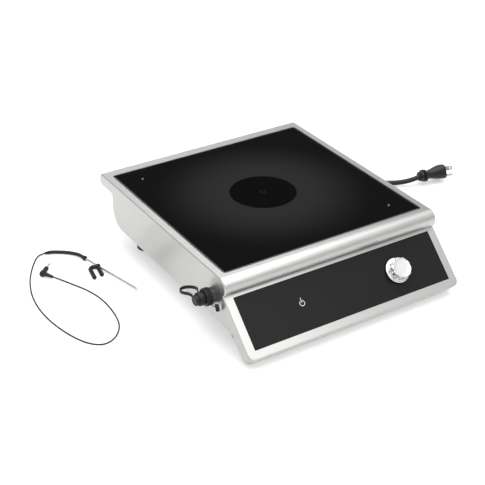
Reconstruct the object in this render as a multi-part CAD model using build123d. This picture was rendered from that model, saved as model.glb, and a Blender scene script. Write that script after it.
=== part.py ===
from build123d import *
from math import atan2, cos, degrees, pi, radians, sin, sqrt, tan
import os

# Countertop induction hob: welded stainless housing, flush glass, sloping control fascia, temperature probe.
# Millimetres. Origin at the centre of the glass's top face. +X right, +Y to the back, +Z up; the user is at -Y.

os.makedirs("parts", exist_ok=True)

# ---------------------------------------------------------------- driving dimensions
FLOOR_Z = -108.0            # worktop under the feet
HALF_W = 178.0              # outer faces of the side plates
SHEET = 1.5                 # stainless sheet of the housing
BOTTOM_Z = -71.2            # lower edge of the side plates
BACK_Y = 146.3              # back wall
BACK_R = 27.8               # curve from back wall to bottom
REAR_Y = 186.8              # rearmost line of the rear nose
REAR_DROP = 20.2            # thickness of the rear nose
REAR_R = 9.9                # rounding of the rear nose
NOSE_R = 14.2               # round front nose
NOSE_Y = -170.8             # axis of the front nose
EDGE_R = 2.2                # bend along the top and side edges
CORNER_R = 10.0             # lower corners of the fascia, seen square on

SLOPE = 43.64               # fascia slope from horizontal, degrees
SLOPE_Y = -182.9            # point where the black panel starts, on the fascia's outer face
SLOPE_Z = -28.4
SLOPE_LEN = 88.4            # from that point down to the fascia's lower edge
BOX_D = 20.6                # depth of the fascia box, square to the slope
LIP_S = 72.0                # where the folded-back lip of the fascia box ends
FLANGE = 12.0               # turned-in flanges along the side plates' lower edges

GLASS_W = 331.0
GLASS_D = 325.0
GLASS_T = 4.0
OPEN_W = 334.0              # opening in the deck
OPEN_D = 328.0
OPEN_R = 5.0

PANEL_W = 329.6             # black control panel
PANEL_H = 75.2
PANEL_T = 2.5
PANEL_SINK = 0.3
KNOB_X = 87.7
KNOB_S = 39.2
KEY_X = -72.2
KEY_S = 37.2

PAN_T = 1.2                 # sheet of the base pan
PAN_HALF = 176.1            # half width of the base pan, inside the side plates
PAN_RISE = 1.5              # the pan's underside above the plates' lower edge

FOOT_X = 140.0
FOOT_Y_REAR = 112.5
FOOT_Y_FRONT = -166.0
FOOT_R = 14.8

SOCKET_Y = -151.9           # probe socket on the left wall
SOCKET_Z = -35.9

FAN_X = -92.0
FAN_Y = 62.0
FAN_SIZE = 92.0
FAN_H = 25.0

GLAND_X = 122.0             # mains lead leaves the back wall here
GLAND_Z = -32.6
CORD_D = 8.4
PROBE_D = 2.2               # probe cable

SA = sin(radians(SLOPE))
CA = cos(radians(SLOPE))
PAN_Z = BOTTOM_Z + PAN_RISE             # underside of the base pan
PAN_TOP = PAN_Z + PAN_T                 # inner face of the base pan
PANEL_FRAME = Plane(origin=(0, SLOPE_Y, SLOPE_Z), x_dir=(1, 0, 0), z_dir=(0, -SA, CA))


# ---------------------------------------------------------------- helpers
def save(shape, node):
    export_step(shape, "parts/" + node + ".step")


def slope(s, d):
    """(y, z) of a point s down the fascia and d behind its outer face."""
    return (SLOPE_Y - s * CA + d * SA, SLOPE_Z - s * SA - d * CA)


def on_fascia(x, s, h, shape):
    """Place a shape whose local z is the fascia's outward normal."""
    return PANEL_FRAME.location * Pos(x, -s, h) * shape


def box(x0, x1, y0, y1, z0, z1):
    return Pos((x0 + x1) / 2, (y0 + y1) / 2, (z0 + z1) / 2) * Box(x1 - x0, y1 - y0, z1 - z0)


def plate(w, d, z0, z1, r):
    """Rounded rectangular plate, centred on the z axis."""
    return Pos(0, 0, z0) * extrude(RectangleRounded(w, d, r), z1 - z0)


def frame_plate(w, d, wi, di, z0, z1, r, ri):
    return plate(w, d, z0, z1, r) - plate(wi, di, z0 - 1, z1 + 1, ri)


def disc(r, z0, z1, x=0.0, y=0.0):
    return Pos(x, y, (z0 + z1) / 2) * Cylinder(r, z1 - z0)


def tube(ro, ri, z0, z1, x=0.0, y=0.0):
    return disc(ro, z0, z1, x, y) - disc(ri, z0 - 1, z1 + 1, x, y)


def along(origin, direction, shape):
    """Place a shape so that its local z runs along direction from origin."""
    return Plane(origin=origin, z_dir=direction).location * shape


def group(shapes):
    return Compound(children=list(shapes))


def across(face, half):
    """Extrude a YZ face symmetrically across the width."""
    return extrude(face, amount=half, dir=(1, 0, 0)) + extrude(face, amount=half, dir=(-1, 0, 0))


def pan_head(r, h, shank_r, length):
    """Screw with its head on z = 0 and its shank along -z, with a cross recess."""
    head = Cylinder(r, h, align=(Align.CENTER, Align.CENTER, Align.MIN))
    head = fillet(head.edges().sort_by(Axis.Z)[-1], h * 0.45)
    shank = Cylinder(shank_r, length, align=(Align.CENTER, Align.CENTER, Align.MAX))
    cross = Box(r * 1.1, r * 0.26, h * 1.0) + Box(r * 0.26, r * 1.1, h * 1.0)
    return head + shank - Pos(0, 0, h) * cross


# ---------------------------------------------------------------- housing
def nose_meets_fascia():
    """Point down the slope (negative s) where the round front nose meets the fascia plane."""
    dy = SLOPE_Y - NOSE_Y
    dz = SLOPE_Z + NOSE_R
    b = -dy * CA - dz * SA
    c = dy * dy + dz * dz - NOSE_R * NOSE_R
    return -b + sqrt(b * b - c)


def housing_face(t):
    """Side outline of the housing, set in by t: nose, fascia box, bottom, back wall, rear nose."""
    groove = (0, *slope(nose_meets_fascia() - t * 0.6, t))
    lip_front = (0, *slope(SLOPE_LEN - t, t))
    lip_back = (0, *slope(SLOPE_LEN - t, BOX_D - t))
    # the fascia box's back meets the bottom where the box depth reaches the bottom edge
    meet = (-BOTTOM_Z - t + SLOPE_Z - (BOX_D - t) * CA) / SA
    chain = [
        lip_back,
        (0, *slope(meet, BOX_D - t)),
        (0, BACK_Y - t, BOTTOM_Z + t),
        (0, BACK_Y - t, -REAR_DROP + t),
        (0, REAR_Y - t, -REAR_DROP + t),
        (0, REAR_Y - t, -t),
        (0, NOSE_Y, -t),
    ]
    lower = FilletPolyline(*chain, radius=[8.0, BACK_R - t, 1.2, REAR_R - t, REAR_R - t])
    nose = ThreePointArc(chain[-1], (0, NOSE_Y - NOSE_R + t, -NOSE_R), groove)
    front = Line(groove, lip_front)
    lip = Line(lip_front, lip_back)
    return make_face([*lower.edges(), nose.edge(), front.edge(), lip.edge()])


def housing_solid(t):
    """The housing's outer form set in by t, with the fascia's two lower corners rounded."""
    solid = across(housing_face(t), HALF_W - t)
    r = CORNER_R - t
    x = HALF_W - CORNER_R
    y = CORNER_R - SLOPE_LEN
    for side in (-1, 1):
        corner = box(0, CORNER_R + 2, -CORNER_R - 2, 0, -BOX_D - 5, 5) - disc(r, -BOX_D - 6, 6)
        if side < 0:
            corner = mirror(corner, Plane.YZ)
        solid -= PANEL_FRAME.location * Pos(side * x, y, 0) * corner
    return solid


def outer_shell():
    """Deck, noses, side plates and fascia frame, welded and ground into one piece."""
    solid = round_sides(housing_solid(0))
    shell = solid - housing_solid(SHEET)
    # the base pan closes the back and bottom, so the skin stops at the rear nose and the folded lip
    gap = [
        (BACK_Y, -REAR_DROP + SHEET + 1),
        (BACK_Y, BOTTOM_Z - 8),
        (-205, BOTTOM_Z - 8),
        slope(LIP_S, BOX_D + 6),
        slope(LIP_S, BOX_D - SHEET - 2),
        (-186, BOTTOM_Z + 8),
        (110, BOTTOM_Z + 8),
        (BACK_Y - 6, -REAR_DROP - 30),
        (BACK_Y - 6, -REAR_DROP + SHEET + 1),
    ]
    cut = make_face(Polyline(*[(0, y, z) for y, z in gap], close=True).edges())
    shell -= across(cut, HALF_W - SHEET)
    shell -= plate(OPEN_W, OPEN_D, -SHEET - 1, 1, OPEN_R)
    window = extrude(RectangleRounded(PANEL_W + 0.6, PANEL_H + 0.6, 1.2), 6)
    shell -= on_fascia(0, PANEL_H / 2, -3, window)
    shell -= Pos(-HALF_W, SOCKET_Y, SOCKET_Z) * Rot(0, 90, 0) * Cylinder(8.2, 8)
    for side in (-1, 1):
        x0 = side * (HALF_W - SHEET)
        x1 = side * (HALF_W - SHEET - FLANGE)
        shell += box(min(x0, x1), max(x0, x1), -190, 114, BOTTOM_Z, BOTTOM_Z + SHEET)
    for place in screw_places():
        shell -= place * Cylinder(1.5, 12)
    return shell


def screw_places():
    """Screws that hold the base pan: along the turned-in side flanges and the fascia box's lip."""
    found = []
    for x in (-1, 1):
        for y in (-150, -85, -20, 45, 100):
            found.append(Pos(x * (HALF_W - SHEET - FLANGE / 2), y, BOTTOM_Z) * Rot(180, 0, 0))
    for x in (-120, -40, 40, 120):
        found.append(Plane(origin=(x, *slope(77, BOX_D)), z_dir=(0, SA, -CA)).location)
    return found


def round_sides(solid):
    """Round the two side outlines, the fascia's lower edge and its back edge."""
    def on_rim(edge):
        at = edge.center()
        side = abs(abs(at.X) - HALF_W) < 0.01
        low = at.Z < BOTTOM_Z - 10 and edge.geom_type != GeomType.LINE
        lip = at.Z < BOTTOM_Z - 10 and abs(at.X) < 0.01 and edge.length > HALF_W
        return side or low or lip
    return fillet(solid.edges().filter_by(on_rim), EDGE_R)


def glass_ledge():
    """Welded joggled frame that carries the glass below the deck."""
    top = frame_plate(OPEN_W + 15, OPEN_D + 13, OPEN_W, OPEN_D, -2.7, -SHEET, 8, OPEN_R)
    wall = frame_plate(OPEN_W + 2.4, OPEN_D + 2.4, OPEN_W, OPEN_D, -5.6, -SHEET, 6, OPEN_R)
    shelf = frame_plate(OPEN_W + 2.4, OPEN_D + 2.4, OPEN_W - 20, OPEN_D - 20, -5.6, -4.4, 6, 8)
    return top + wall + shelf


def glass_top():
    glass = plate(GLASS_W, GLASS_D, -GLASS_T, 0, 4)
    return chamfer(glass.edges().group_by(Axis.Z)[-1], 0.8)


def glass_seal():
    """Black silicone bead around the glass, with a thin bed under its edge."""
    bead = frame_plate(OPEN_W, OPEN_D, GLASS_W, GLASS_D, -4.4, -0.5, OPEN_R, 4)
    bed = frame_plate(GLASS_W, GLASS_D, GLASS_W - 12, GLASS_D - 12, -4.4, -GLASS_T, 4, 6)
    return bead + bed


# ---------------------------------------------------------------- base
def pan_face(t):
    """Side outline of the base pan's skin, from the rear nose down and forward to the folded lip."""
    meet = (-PAN_Z - t + SLOPE_Z - (BOX_D - PAN_RISE - t) * CA) / SA
    return [
        (0, BACK_Y - 0.4 - t, -REAR_DROP + 0.4),
        (0, BACK_Y - 0.4 - t, PAN_Z + t),
        (0, *slope(meet, BOX_D - PAN_RISE - t)),
        (0, *slope(LIP_S + 10, BOX_D - PAN_RISE - t)),
    ]


def base_skin():
    outer = FilletPolyline(*pan_face(0), radius=[BACK_R - 0.4, 6])
    inner = FilletPolyline(*pan_face(PAN_T), radius=[BACK_R - 0.4 - PAN_T, 6 + PAN_T])
    head = Line(outer @ 0, inner @ 0)
    foot = Line(outer @ 1, inner @ 1)
    return make_face([*outer.edges(), *inner.edges(), head.edge(), foot.edge()])


def base_pan():
    """Bottom and back wall in one bent sheet, with side flanges, fan inlet slots and rear louvre slots."""
    pan = across(base_skin(), PAN_HALF)
    for side in (-1, 1):
        x0 = side * PAN_HALF
        x1 = side * (PAN_HALF - PAN_T)
        pan += box(min(x0, x1), max(x0, x1), -176, 112, PAN_Z + 0.6, PAN_Z + 13)
    for place in screw_places():
        pan -= place * Cylinder(1.5, 12)
    # inlet: rings of slots under the fan
    for radius, count in ((12, 3), (22, 4), (32, 4), (41, 4)):
        ring = tube(radius + 2.6, radius - 2.6, PAN_Z - 2, PAN_Z + 4)
        for k in range(count):
            web = Rot(0, 0, 360 / count * k + 45) * box(0, 60, -2.2, 2.2, PAN_Z - 3, PAN_Z + 5)
            ring -= web
        pan -= Pos(FAN_X, FAN_Y, 0) * ring
    # outlet: upright slots in the back wall
    for k in range(22):
        slot_x = -150 + k * 9.5
        pan -= box(slot_x - 2.2, slot_x + 2.2, BACK_Y - 6, BACK_Y + 3, -45, -27)
    pan -= Pos(GLAND_X, BACK_Y, GLAND_Z) * Rot(90, 0, 0) * Cylinder(8.2, 12)
    for x, y in foot_places():
        pan -= disc(2.3, PAN_Z - 2, PAN_Z + 4, x, y)
    return pan


def foot_places():
    return [(sx * FOOT_X, y) for y in (FOOT_Y_REAR, FOOT_Y_FRONT) for sx in (-1, 1)]


def foot(x, y):
    """Tall tapered rubber foot with a recess for its screw."""
    profile = [(0, FLOOR_Z), (FOOT_R - 1, FLOOR_Z), (FOOT_R, FLOOR_Z + 1), (FOOT_R, FLOOR_Z + 5),
               (FOOT_R - 1.6, FLOOR_Z + 7), (10.4, PAN_Z - 3), (12.2, PAN_Z - 2), (12.2, PAN_Z), (0, PAN_Z)]
    face = make_face(Polyline(*[(r, 0, z) for r, z in profile], close=True).edges())
    body = revolve(face, Axis.Z)
    body -= disc(5.2, FLOOR_Z - 1, FLOOR_Z + 26)
    body -= disc(2.3, FLOOR_Z + 20, PAN_Z + 1)
    return Pos(x, y, 0) * body


def foot_screws():
    screw = Rot(180, 0, 0) * pan_head(4.4, 2.6, 2.1, PAN_TOP - FLOOR_Z - 26 + 3.5)
    return group([Pos(x, y, FLOOR_Z + 26) * screw for x, y in foot_places()])


def base_screws():
    return group([place * pan_head(2.9, 1.6, 1.4, 6) for place in screw_places()])


def rating_plate():
    """Blank data plate on the underside."""
    return Pos(60, 60, 0) * plate(70, 34, PAN_Z - 0.5, PAN_Z, 3)


# ---------------------------------------------------------------- control fascia
def control_panel():
    face = extrude(RectangleRounded(PANEL_W, PANEL_H, 1.0), PANEL_T)
    face -= Pos(KNOB_X, PANEL_H / 2 - KNOB_S, PANEL_T / 2) * Cylinder(6.6, PANEL_T * 2)
    face = chamfer(face.edges().group_by(Axis.Z)[-1].filter_by(GeomType.LINE), 0.25)
    return on_fascia(0, PANEL_H / 2, -PANEL_SINK - PANEL_T, face)


def panel_gasket():
    ring = frame_plate(PANEL_W, PANEL_H, PANEL_W - 14, PANEL_H - 12, 0, 0.3, 1, 2)
    return on_fascia(0, PANEL_H / 2, -PANEL_SINK - PANEL_T - 0.3, ring)


def panel_backing():
    """Steel carrier behind the panel: a rim against the fascia and a dished plate with openings."""
    floor = -PANEL_SINK - PANEL_T - 0.3
    carrier = Pos(0, -0.9, 0) * plate(342, 83, floor - 1.2, -SHEET, 3)
    carrier -= plate(PANEL_W + 1.4, PANEL_H + 1.4, floor, 1, 1.5)
    carrier -= Pos(KNOB_X, PANEL_H / 2 - KNOB_S, 0) * disc(3.6, floor - 3, floor + 2)
    carrier -= Pos(KEY_X, PANEL_H / 2 - KEY_S, 0) * disc(9, floor - 3, floor + 2)
    carrier -= Pos(6, 0, 0) * plate(84, 32, floor - 3, floor + 2, 2)
    return on_fascia(0, PANEL_H / 2, 0, carrier)


def encoder_body():
    floor = -PANEL_SINK - PANEL_T - 1.5
    body = box(-6.2, 6.2, -6.2, 6.2, floor - 6.5, floor)
    body += disc(3.5, floor, floor + 4.2)
    body -= disc(3.05, floor - 0.6, floor + 6)
    body -= disc(4.2, floor - 5.6, floor - 0.5)
    return on_fascia(KNOB_X, KNOB_S, 0, body)


def encoder_plunger():
    """Spring plate that carries the shaft down when the knob is pushed."""
    floor = -PANEL_SINK - PANEL_T - 1.5
    return on_fascia(KNOB_X, KNOB_S, 0, disc(3.6, floor - 3.9, floor - 3.2))


def encoder_nut():
    floor = -PANEL_SINK - PANEL_T - 0.3
    nut = extrude(RegularPolygon(5.6, 6), 2.0) - Pos(0, 0, 1) * Cylinder(3.5, 6)
    return on_fascia(KNOB_X, KNOB_S, floor, nut)


def encoder_shaft():
    floor = -PANEL_SINK - PANEL_T - 1.5
    shaft = disc(3.0, floor - 1.2, 11)
    shaft += disc(3.6, floor - 3.2, floor - 1.2)
    shaft -= box(1.6, 5, -5, 5, 2.2, 12)
    return on_fascia(KNOB_X, KNOB_S, 0, shaft)


KNOB_BASE = 1.5             # knob's lower face above the fascia
KNOB_TOP = 16.7             # knob's front face above the fascia
KNOB_FLANGE_R = 18.7
KNOB_R = 15.4
FLUTES = 10


def control_knob():
    """Chromed knob: a flange, a fluted body and a flat front face."""
    profile = [(0, KNOB_BASE), (KNOB_FLANGE_R - 0.5, KNOB_BASE), (KNOB_FLANGE_R, KNOB_BASE + 0.6),
               (KNOB_FLANGE_R, KNOB_BASE + 2.0), (KNOB_FLANGE_R - 1.2, KNOB_BASE + 3.0),
               (KNOB_R + 0.9, KNOB_BASE + 3.2), (KNOB_R + 0.3, KNOB_TOP - 1.6), (KNOB_R - 1.0, KNOB_TOP),
               (0, KNOB_TOP)]
    face = make_face(Polyline(*[(r, 0, z) for r, z in profile], close=True).edges())
    knob = revolve(face, Axis.Z)
    lean = degrees(atan2(1.3, KNOB_TOP - KNOB_BASE - 3.4))
    for k in range(FLUTES):
        cutter = Pos(KNOB_R + 1.3, 0, KNOB_BASE + 3.4) * Rot(0, lean, 0) * Cylinder(
            3.3, 40, align=(Align.CENTER, Align.CENTER, Align.MIN))
        knob -= Rot(0, 0, 360 / FLUTES * k) * cutter
    knob -= disc(7.0, KNOB_BASE - 1, 12.5)
    return on_fascia(KNOB_X, KNOB_S, 0, knob)


def knob_hub():
    """Black plastic core that grips the flatted shaft."""
    hub = disc(7.0, KNOB_BASE + 1, 12.5) - disc(3.0, KNOB_BASE - 1, 11)
    hub += box(1.6, 3.5, -2.9, 2.9, 2.6, 11)
    return on_fascia(KNOB_X, KNOB_S, 0, hub)


def control_board():
    floor = -PANEL_SINK - PANEL_T - 1.5 - 6.5
    board = box(-120, 120, -24, 24, floor - 1.6, floor)
    for x in (-112, 112):
        for y in (-18, 18):
            board -= disc(1.7, floor - 3, floor + 1, x, y)
    return on_fascia(0, 40, 0, board)


def board_posts():
    """Weld studs that hold the control board off the panel carrier."""
    top = -PANEL_SINK - PANEL_T - 1.5
    post = disc(3.0, top - 6.5, top) + disc(1.6, top - 9.6, top - 6.5)
    return group([on_fascia(x, 40 - y, 0, post) for x in (-112, 112) for y in (-18, 18)])


def display_module():
    floor = -PANEL_SINK - PANEL_T - 1.5 - 6.5
    body = box(-38, 38, -13, 13, floor, floor + 7.0)
    body -= box(-34, 34, -9.5, 9.5, floor + 6.2, floor + 9)
    return on_fascia(6, PANEL_H / 2, 0, body)


def touch_spring():
    """Coil spring electrode of the power key, between the board and the panel's back."""
    floor = -PANEL_SINK - PANEL_T - 1.5 - 6.5
    height = 8.0
    path = Helix(pitch=1.6, height=height - 1.2, radius=5.0)
    coil = sweep(Plane(origin=path @ 0, z_dir=path % 0) * Circle(0.35), path)
    return on_fascia(KEY_X, KEY_S, floor + 0.45, coil)


# ---------------------------------------------------------------- coil and sensor
COIL_TOP = -8.0


def coil_former():
    """Plastic spider: rim, hub and eight spokes that carry the winding and the ferrites."""
    z0 = COIL_TOP - 12
    z1 = COIL_TOP - 6
    body = tube(103, 99, z0, z1) + tube(26, 17, z0, z1)
    for k in range(8):
        spoke = box(22, 101, -7.5, 7.5, z0, z1) - box(28, 96, -5.2, 5.2, z0 - 1, z1 - 1.6)
        body += Rot(0, 0, 45 * k + 22.5) * spoke
    return body


def ferrite_bars():
    z0 = COIL_TOP - 12.6
    bar = box(29, 95, -4.9, 4.9, z0, COIL_TOP - 7.8)
    return group([Rot(0, 0, 45 * k + 22.5) * bar for k in range(8)])


def coil_winding():
    """Flat litz winding: turns show as rounded ridges, with two tails to the power board."""
    turns = 17
    inner = 29.0
    pitch = 4.1
    points = [(inner, COIL_TOP - 6)]
    for k in range(turns):
        left = inner + k * pitch
        points += [(left, COIL_TOP - 2.2), (left + pitch * 0.3, COIL_TOP - 0.9),
                   (left + pitch * 0.7, COIL_TOP - 0.9), (left + pitch, COIL_TOP - 2.2)]
    points.append((inner + turns * pitch, COIL_TOP - 6))
    clean = [points[0]]
    for p in points[1:]:
        if abs(p[0] - clean[-1][0]) + abs(p[1] - clean[-1][1]) > 1e-6:
            clean.append(p)
    face = make_face(Polyline(*[(r, 0, z) for r, z in clean], close=True).edges())
    return revolve(face, Axis.Z)


def mica_sheet():
    return tube(104, 12, COIL_TOP - 0.9, COIL_TOP - 0.3)


def coil_shield():
    """Aluminium tray under the coil with four turned-down tabs."""
    z1 = COIL_TOP - 14.5
    tray = disc(112, z1 - 1.5, z1) - disc(15, z1 - 3, z1 + 1)
    for k in range(4):
        tray -= Rot(0, 0, 90 * k) * Pos(102, 0, 0) * disc(2.2, z1 - 3, z1 + 1)
    return tray


def coil_posts():
    """Four sprung posts between the tray and the former's rim, bolted through the tray."""
    z1 = COIL_TOP - 14.5
    z_floor = PAN_TOP
    post = tube(3.6, 1.5, z_floor, z1 - 1.5)
    post += disc(2.0, z1 - 1.5, COIL_TOP - 12.2)
    return group([Rot(0, 0, 90 * k) * Pos(102, 0, 0) * post for k in range(4)])


def centre_sensor():
    """Glass-temperature sensor in a cup at the coil's centre, pushed up against the glass."""
    cup = tube(12.0, 9.5, COIL_TOP - 11, COIL_TOP - 3) + disc(12.0, COIL_TOP - 12, COIL_TOP - 11)
    head = disc(8.8, -5.2, -GLASS_T - 0.1) + disc(4.0, COIL_TOP - 11, -5.2)
    return cup + head


# ---------------------------------------------------------------- electronics and cooling
BOARD_Z = PAN_TOP + 6
SINK_Z = BOARD_Z + 6.6      # underside of the heat sink, over the power devices


def power_board():
    board = box(-30, 160, -120, 20, BOARD_Z, BOARD_Z + 1.6)
    for x in (-24, 154):
        for y in (-114, 14):
            board -= disc(1.7, BOARD_Z - 1, BOARD_Z + 3, x, y)
    for k in range(4):
        board -= Rot(0, 0, 90 * k) * Pos(102, 0, 0) * disc(4.4, BOARD_Z - 1, BOARD_Z + 3)
    return board


def board_standoffs():
    post = disc(3.2, PAN_TOP, BOARD_Z) + disc(1.6, BOARD_Z, BOARD_Z + 3)
    return group([Pos(x, y, 0) * post for x in (-24, 154) for y in (-114, 14)])


def heatsink():
    """Extruded aluminium block with upright fins along the air stream."""
    z0 = SINK_Z
    sink = box(-16, 60, -70, 10, z0, z0 + 4)
    for k in range(13):
        x = -15.2 + k * 6.1
        sink += box(x, x + 1.8, -70, 10, z0 + 4, z0 + 26)
    return sink


def power_transistors():
    z1 = SINK_Z
    body = box(-8, 8, -10, 10, z1 - 4.6, z1)
    return group([Pos(x, y, 0) * body for x, y in ((2, -52), (2, -20), (36, -52))])


def bridge_rectifier():
    z1 = SINK_Z
    return box(25, 47, -30, -10, z1 - 4.6, z1) - disc(1.8, z1 - 6, z1 + 1, 36, -20)


def film_capacitors():
    z0 = BOARD_Z + 1.6
    large = fillet(box(78, 112, -60, -40, z0, z0 + 26).edges().filter_by(Axis.Z), 2)
    small = fillet(box(78, 110, -34, -18, z0, z0 + 22).edges().filter_by(Axis.Z), 2)
    line = fillet(box(124, 150, -110, -96, z0, z0 + 18).edges().filter_by(Axis.Z), 2)
    return group([large, small, line])


def smoothing_choke():
    """Toroid wound with thick wire, standing on the board."""
    z0 = BOARD_Z + 1.6
    ring = Pos(96, -88, z0 + 6.2) * Torus(12, 6)
    return ring


def relay():
    z0 = BOARD_Z + 1.6
    return fillet(box(128, 146, -86, -58, z0, z0 + 16).edges().filter_by(Axis.Z), 1.2)


def fan_housing():
    """Square axial fan frame, bolted over the inlet."""
    z0 = PAN_TOP
    half = FAN_SIZE / 2
    frame = plate(FAN_SIZE, FAN_SIZE, z0, z0 + FAN_H, 5) - disc(43.5, z0 - 1, z0 + FAN_H + 1)
    waist = plate(FAN_SIZE + 2, FAN_SIZE + 2, z0 + 4, z0 + FAN_H - 4, 5) - disc(45.6, z0, z0 + FAN_H)
    frame -= waist
    frame += tube(45.6, 43.5, z0, z0 + FAN_H)
    frame += disc(17, z0 + FAN_H - 3, z0 + FAN_H)
    for k in range(4):
        frame += Rot(0, 0, 90 * k + 45) * box(14, 44.5, -1.6, 1.6, z0 + FAN_H - 3, z0 + FAN_H)
    for x in (-1, 1):
        for y in (-1, 1):
            frame -= disc(2.1, z0 - 1, z0 + FAN_H + 1, x * (half - 5), y * (half - 5))
    frame += disc(2.0, z0 + FAN_H - 12, z0 + FAN_H - 3)
    return Pos(FAN_X, FAN_Y, 0) * frame


def fan_rotor():
    """Hub with seven pitched blades, turning on the housing's pin."""
    z0 = PAN_TOP
    hub = disc(16.5, z0 + 3, z0 + FAN_H - 3.6) - disc(2.05, z0 + 8, z0 + FAN_H)
    hub = fillet(hub.edges().group_by(Axis.Z)[0], 1.5)
    rotor = hub
    for k in range(7):
        blade = Pos(28.8, 0, z0 + 11.5) * Rot(34, 0, 0) * Box(27.6, 26, 1.6)
        blade &= tube(42.4, 15.5, z0 + 3.2, z0 + FAN_H - 4)
        rotor += Rot(0, 0, 360 / 7 * k) * blade
    return Pos(FAN_X, FAN_Y, 0) * rotor


def air_duct():
    """Plastic hood that leads the fan's air over the heatsink and out at the back."""
    z0 = PAN_TOP + FAN_H + 0.6
    z1 = z0 + 9
    hood = box(-142, -42, 20, 110, z0, z1) - box(-140, -40, 22, 108, z0 - 1, z1 - 1.6)
    return hood


def signal_ribbon():
    """Flat cable from the control board to the power board."""
    y0, z0 = slope(45, 14)
    pts = [(0, y0, z0), (0, -158, -46), (0, -142, BOARD_Z + 14), (0, -119, BOARD_Z + 9),
           (0, -111, BOARD_Z + 2.4)]
    line = FilletPolyline(*pts, radius=[6, 8, 6])
    path = Wire(line.edges())
    section = Plane(origin=path @ 0, z_dir=path % 0, x_dir=(1, 0, 0)) * Rectangle(26, 1.0)
    return Pos(60, 0, 0) * sweep(section, path)


# ---------------------------------------------------------------- probe socket and cap
def socket_axis(shape):
    """Local z points out of the left wall, along -X."""
    return Pos(-HALF_W, SOCKET_Y, SOCKET_Z) * Rot(0, -90, 0) * shape


def socket_flange():
    ring = tube(10.9, 8.0, 0, 5.4)
    ring = chamfer(ring.edges().group_by(Axis.Z)[-1], 0.6)
    for k in range(6):
        ring -= Rot(0, 0, 60 * k) * box(10.1, 14, -8, 8, 0.8, 6)
    return socket_axis(ring)


def socket_body():
    """Threaded barrel through the wall with a knurled collar and a necked nose."""
    body = disc(8.0, -12, 5.4)
    collar = disc(12.2, 5.4, 14.4)
    collar = chamfer(collar.edges().group_by(Axis.Z)[-1], 0.8)
    for k in range(24):
        collar -= Rot(0, 0, 15 * k) * Pos(12.5, 0, 0) * disc(0.7, 6.6, 13.2)
    body += collar
    body += disc(6.8, 14.4, 19.0)
    body -= disc(3.3, -6, 20)
    return socket_axis(body)


def socket_nut():
    nut = extrude(RegularPolygon(11.5, 6), 3) - Pos(0, 0, 1.5) * Cylinder(8.0, 8)
    return socket_axis(Pos(0, 0, -SHEET - 3) * nut)


def dust_cap():
    """Rubber cap: a hollow ring over the nose, a stepped end and a plug that fills the bore."""
    cap = disc(9.5, 18.4, 23.2) - disc(7.1, 17, 19.4)
    cap = fillet(cap.edges().group_by(Axis.Z)[-1], 1.0)
    tip = disc(7.6, 23.2, 28.4)
    tip = fillet(tip.edges().group_by(Axis.Z)[-1], 1.2)
    cap += tip
    cap += disc(3.0, 6, 20)
    return socket_axis(cap)


STRAP_AT = (-202.0, -130.4)     # centre of the strap's loop, beside the cap
STRAP_LONG = 11.4               # half length of the oval loop, middle of the band
STRAP_SHORT = 7.8
STRAP_TURN = -32.0              # the oval's long axis from +X
STRAP_T = 1.8                   # band thickness
STRAP_H = 5.0                   # band height


def cap_strap():
    """Flat rubber band from a ring on the socket's neck, looped out to the cap's end."""
    ring = socket_axis(tube(9.0, 6.9, 14.6, 17.9))
    z0 = SOCKET_Z + 1.0
    outer = Ellipse(STRAP_LONG + STRAP_T / 2, STRAP_SHORT + STRAP_T / 2)
    inner = Ellipse(STRAP_LONG - STRAP_T / 2, STRAP_SHORT - STRAP_T / 2)
    band = Pos(*STRAP_AT, z0) * Rot(0, 0, STRAP_TURN) * extrude(outer - inner, STRAP_H)
    root_x = -HALF_W - 17.0
    tail_x = -HALF_W - 26.9
    band -= box(tail_x + 0.5, root_x - 0.5, SOCKET_Y + 9.5, STRAP_AT[1] - 4, z0 - 1, z0 + STRAP_H + 1)
    half = STRAP_T / 2
    root = box(root_x - half, root_x + half, SOCKET_Y + 6.9, STRAP_AT[1] - 7.2, z0, z0 + STRAP_H)
    tail = box(tail_x - half, tail_x + half, SOCKET_Y + 8.1, STRAP_AT[1] - 6.0, z0, z0 + STRAP_H)
    return ring + band + root + tail


TETHER_X = -HALF_W - 6.0         # plane of the tether, outside the flange
TAB_AT = (-HALF_W - 5.6, -171.4, -39.0)     # middle of the tab's top
TAB_W = 5.2                     # crimped tab at the tether's end
TAB_H = 10.4
TAB_T = 2.6


def cap_tether():
    """Thin cord looped from the collar to a crimped tab that hangs beside the wall."""
    lower = [(TETHER_X, SOCKET_Y - 6.0, SOCKET_Z - 10.9), (TETHER_X, SOCKET_Y - 13.1, SOCKET_Z - 9.6)]
    upper = [(TETHER_X, SOCKET_Y - 9.7, SOCKET_Z - 7.9), (TETHER_X, SOCKET_Y - 15.1, SOCKET_Z - 3.7)]
    end = (TAB_AT[0], TAB_AT[1], TAB_AT[2] - 1.0)
    strands = []
    for points in (lower, upper):
        line = FilletPolyline(*points, end, radius=[2.5])
        path = Wire(line.edges())
        strands.append(sweep(Plane(origin=path @ 0, z_dir=path % 0) * Circle(0.5), path))
    tab = Box(TAB_T, TAB_W, TAB_H, align=(Align.CENTER, Align.CENTER, Align.MAX))
    tab = chamfer(tab.edges().filter_by(Axis.X), 0.8)
    tab -= Pos(-TAB_T / 2, 0, -TAB_H / 2) * Box(1.0, 0.8, TAB_H - 2)
    tab = Pos(*TAB_AT) * Rot(0, 0, 58) * Rot(-11, 0, 0) * tab
    return tab + strands[0] + strands[1]


# ---------------------------------------------------------------- mains lead
PLUG_X = 347.0              # where the cord enters the plug
PLUG_Y = 49.0
CORD_Z = FLOOR_Z + CORD_D / 2
COIL_X = 176.0              # centre of the tied coil behind the hob
COIL_Y = 238.0
COIL_R = 50.0
PLUG_AXIS = Vector(0.9946, -0.1040, 0.0)
PLUG_Z = FLOOR_Z + 15.8


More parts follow.
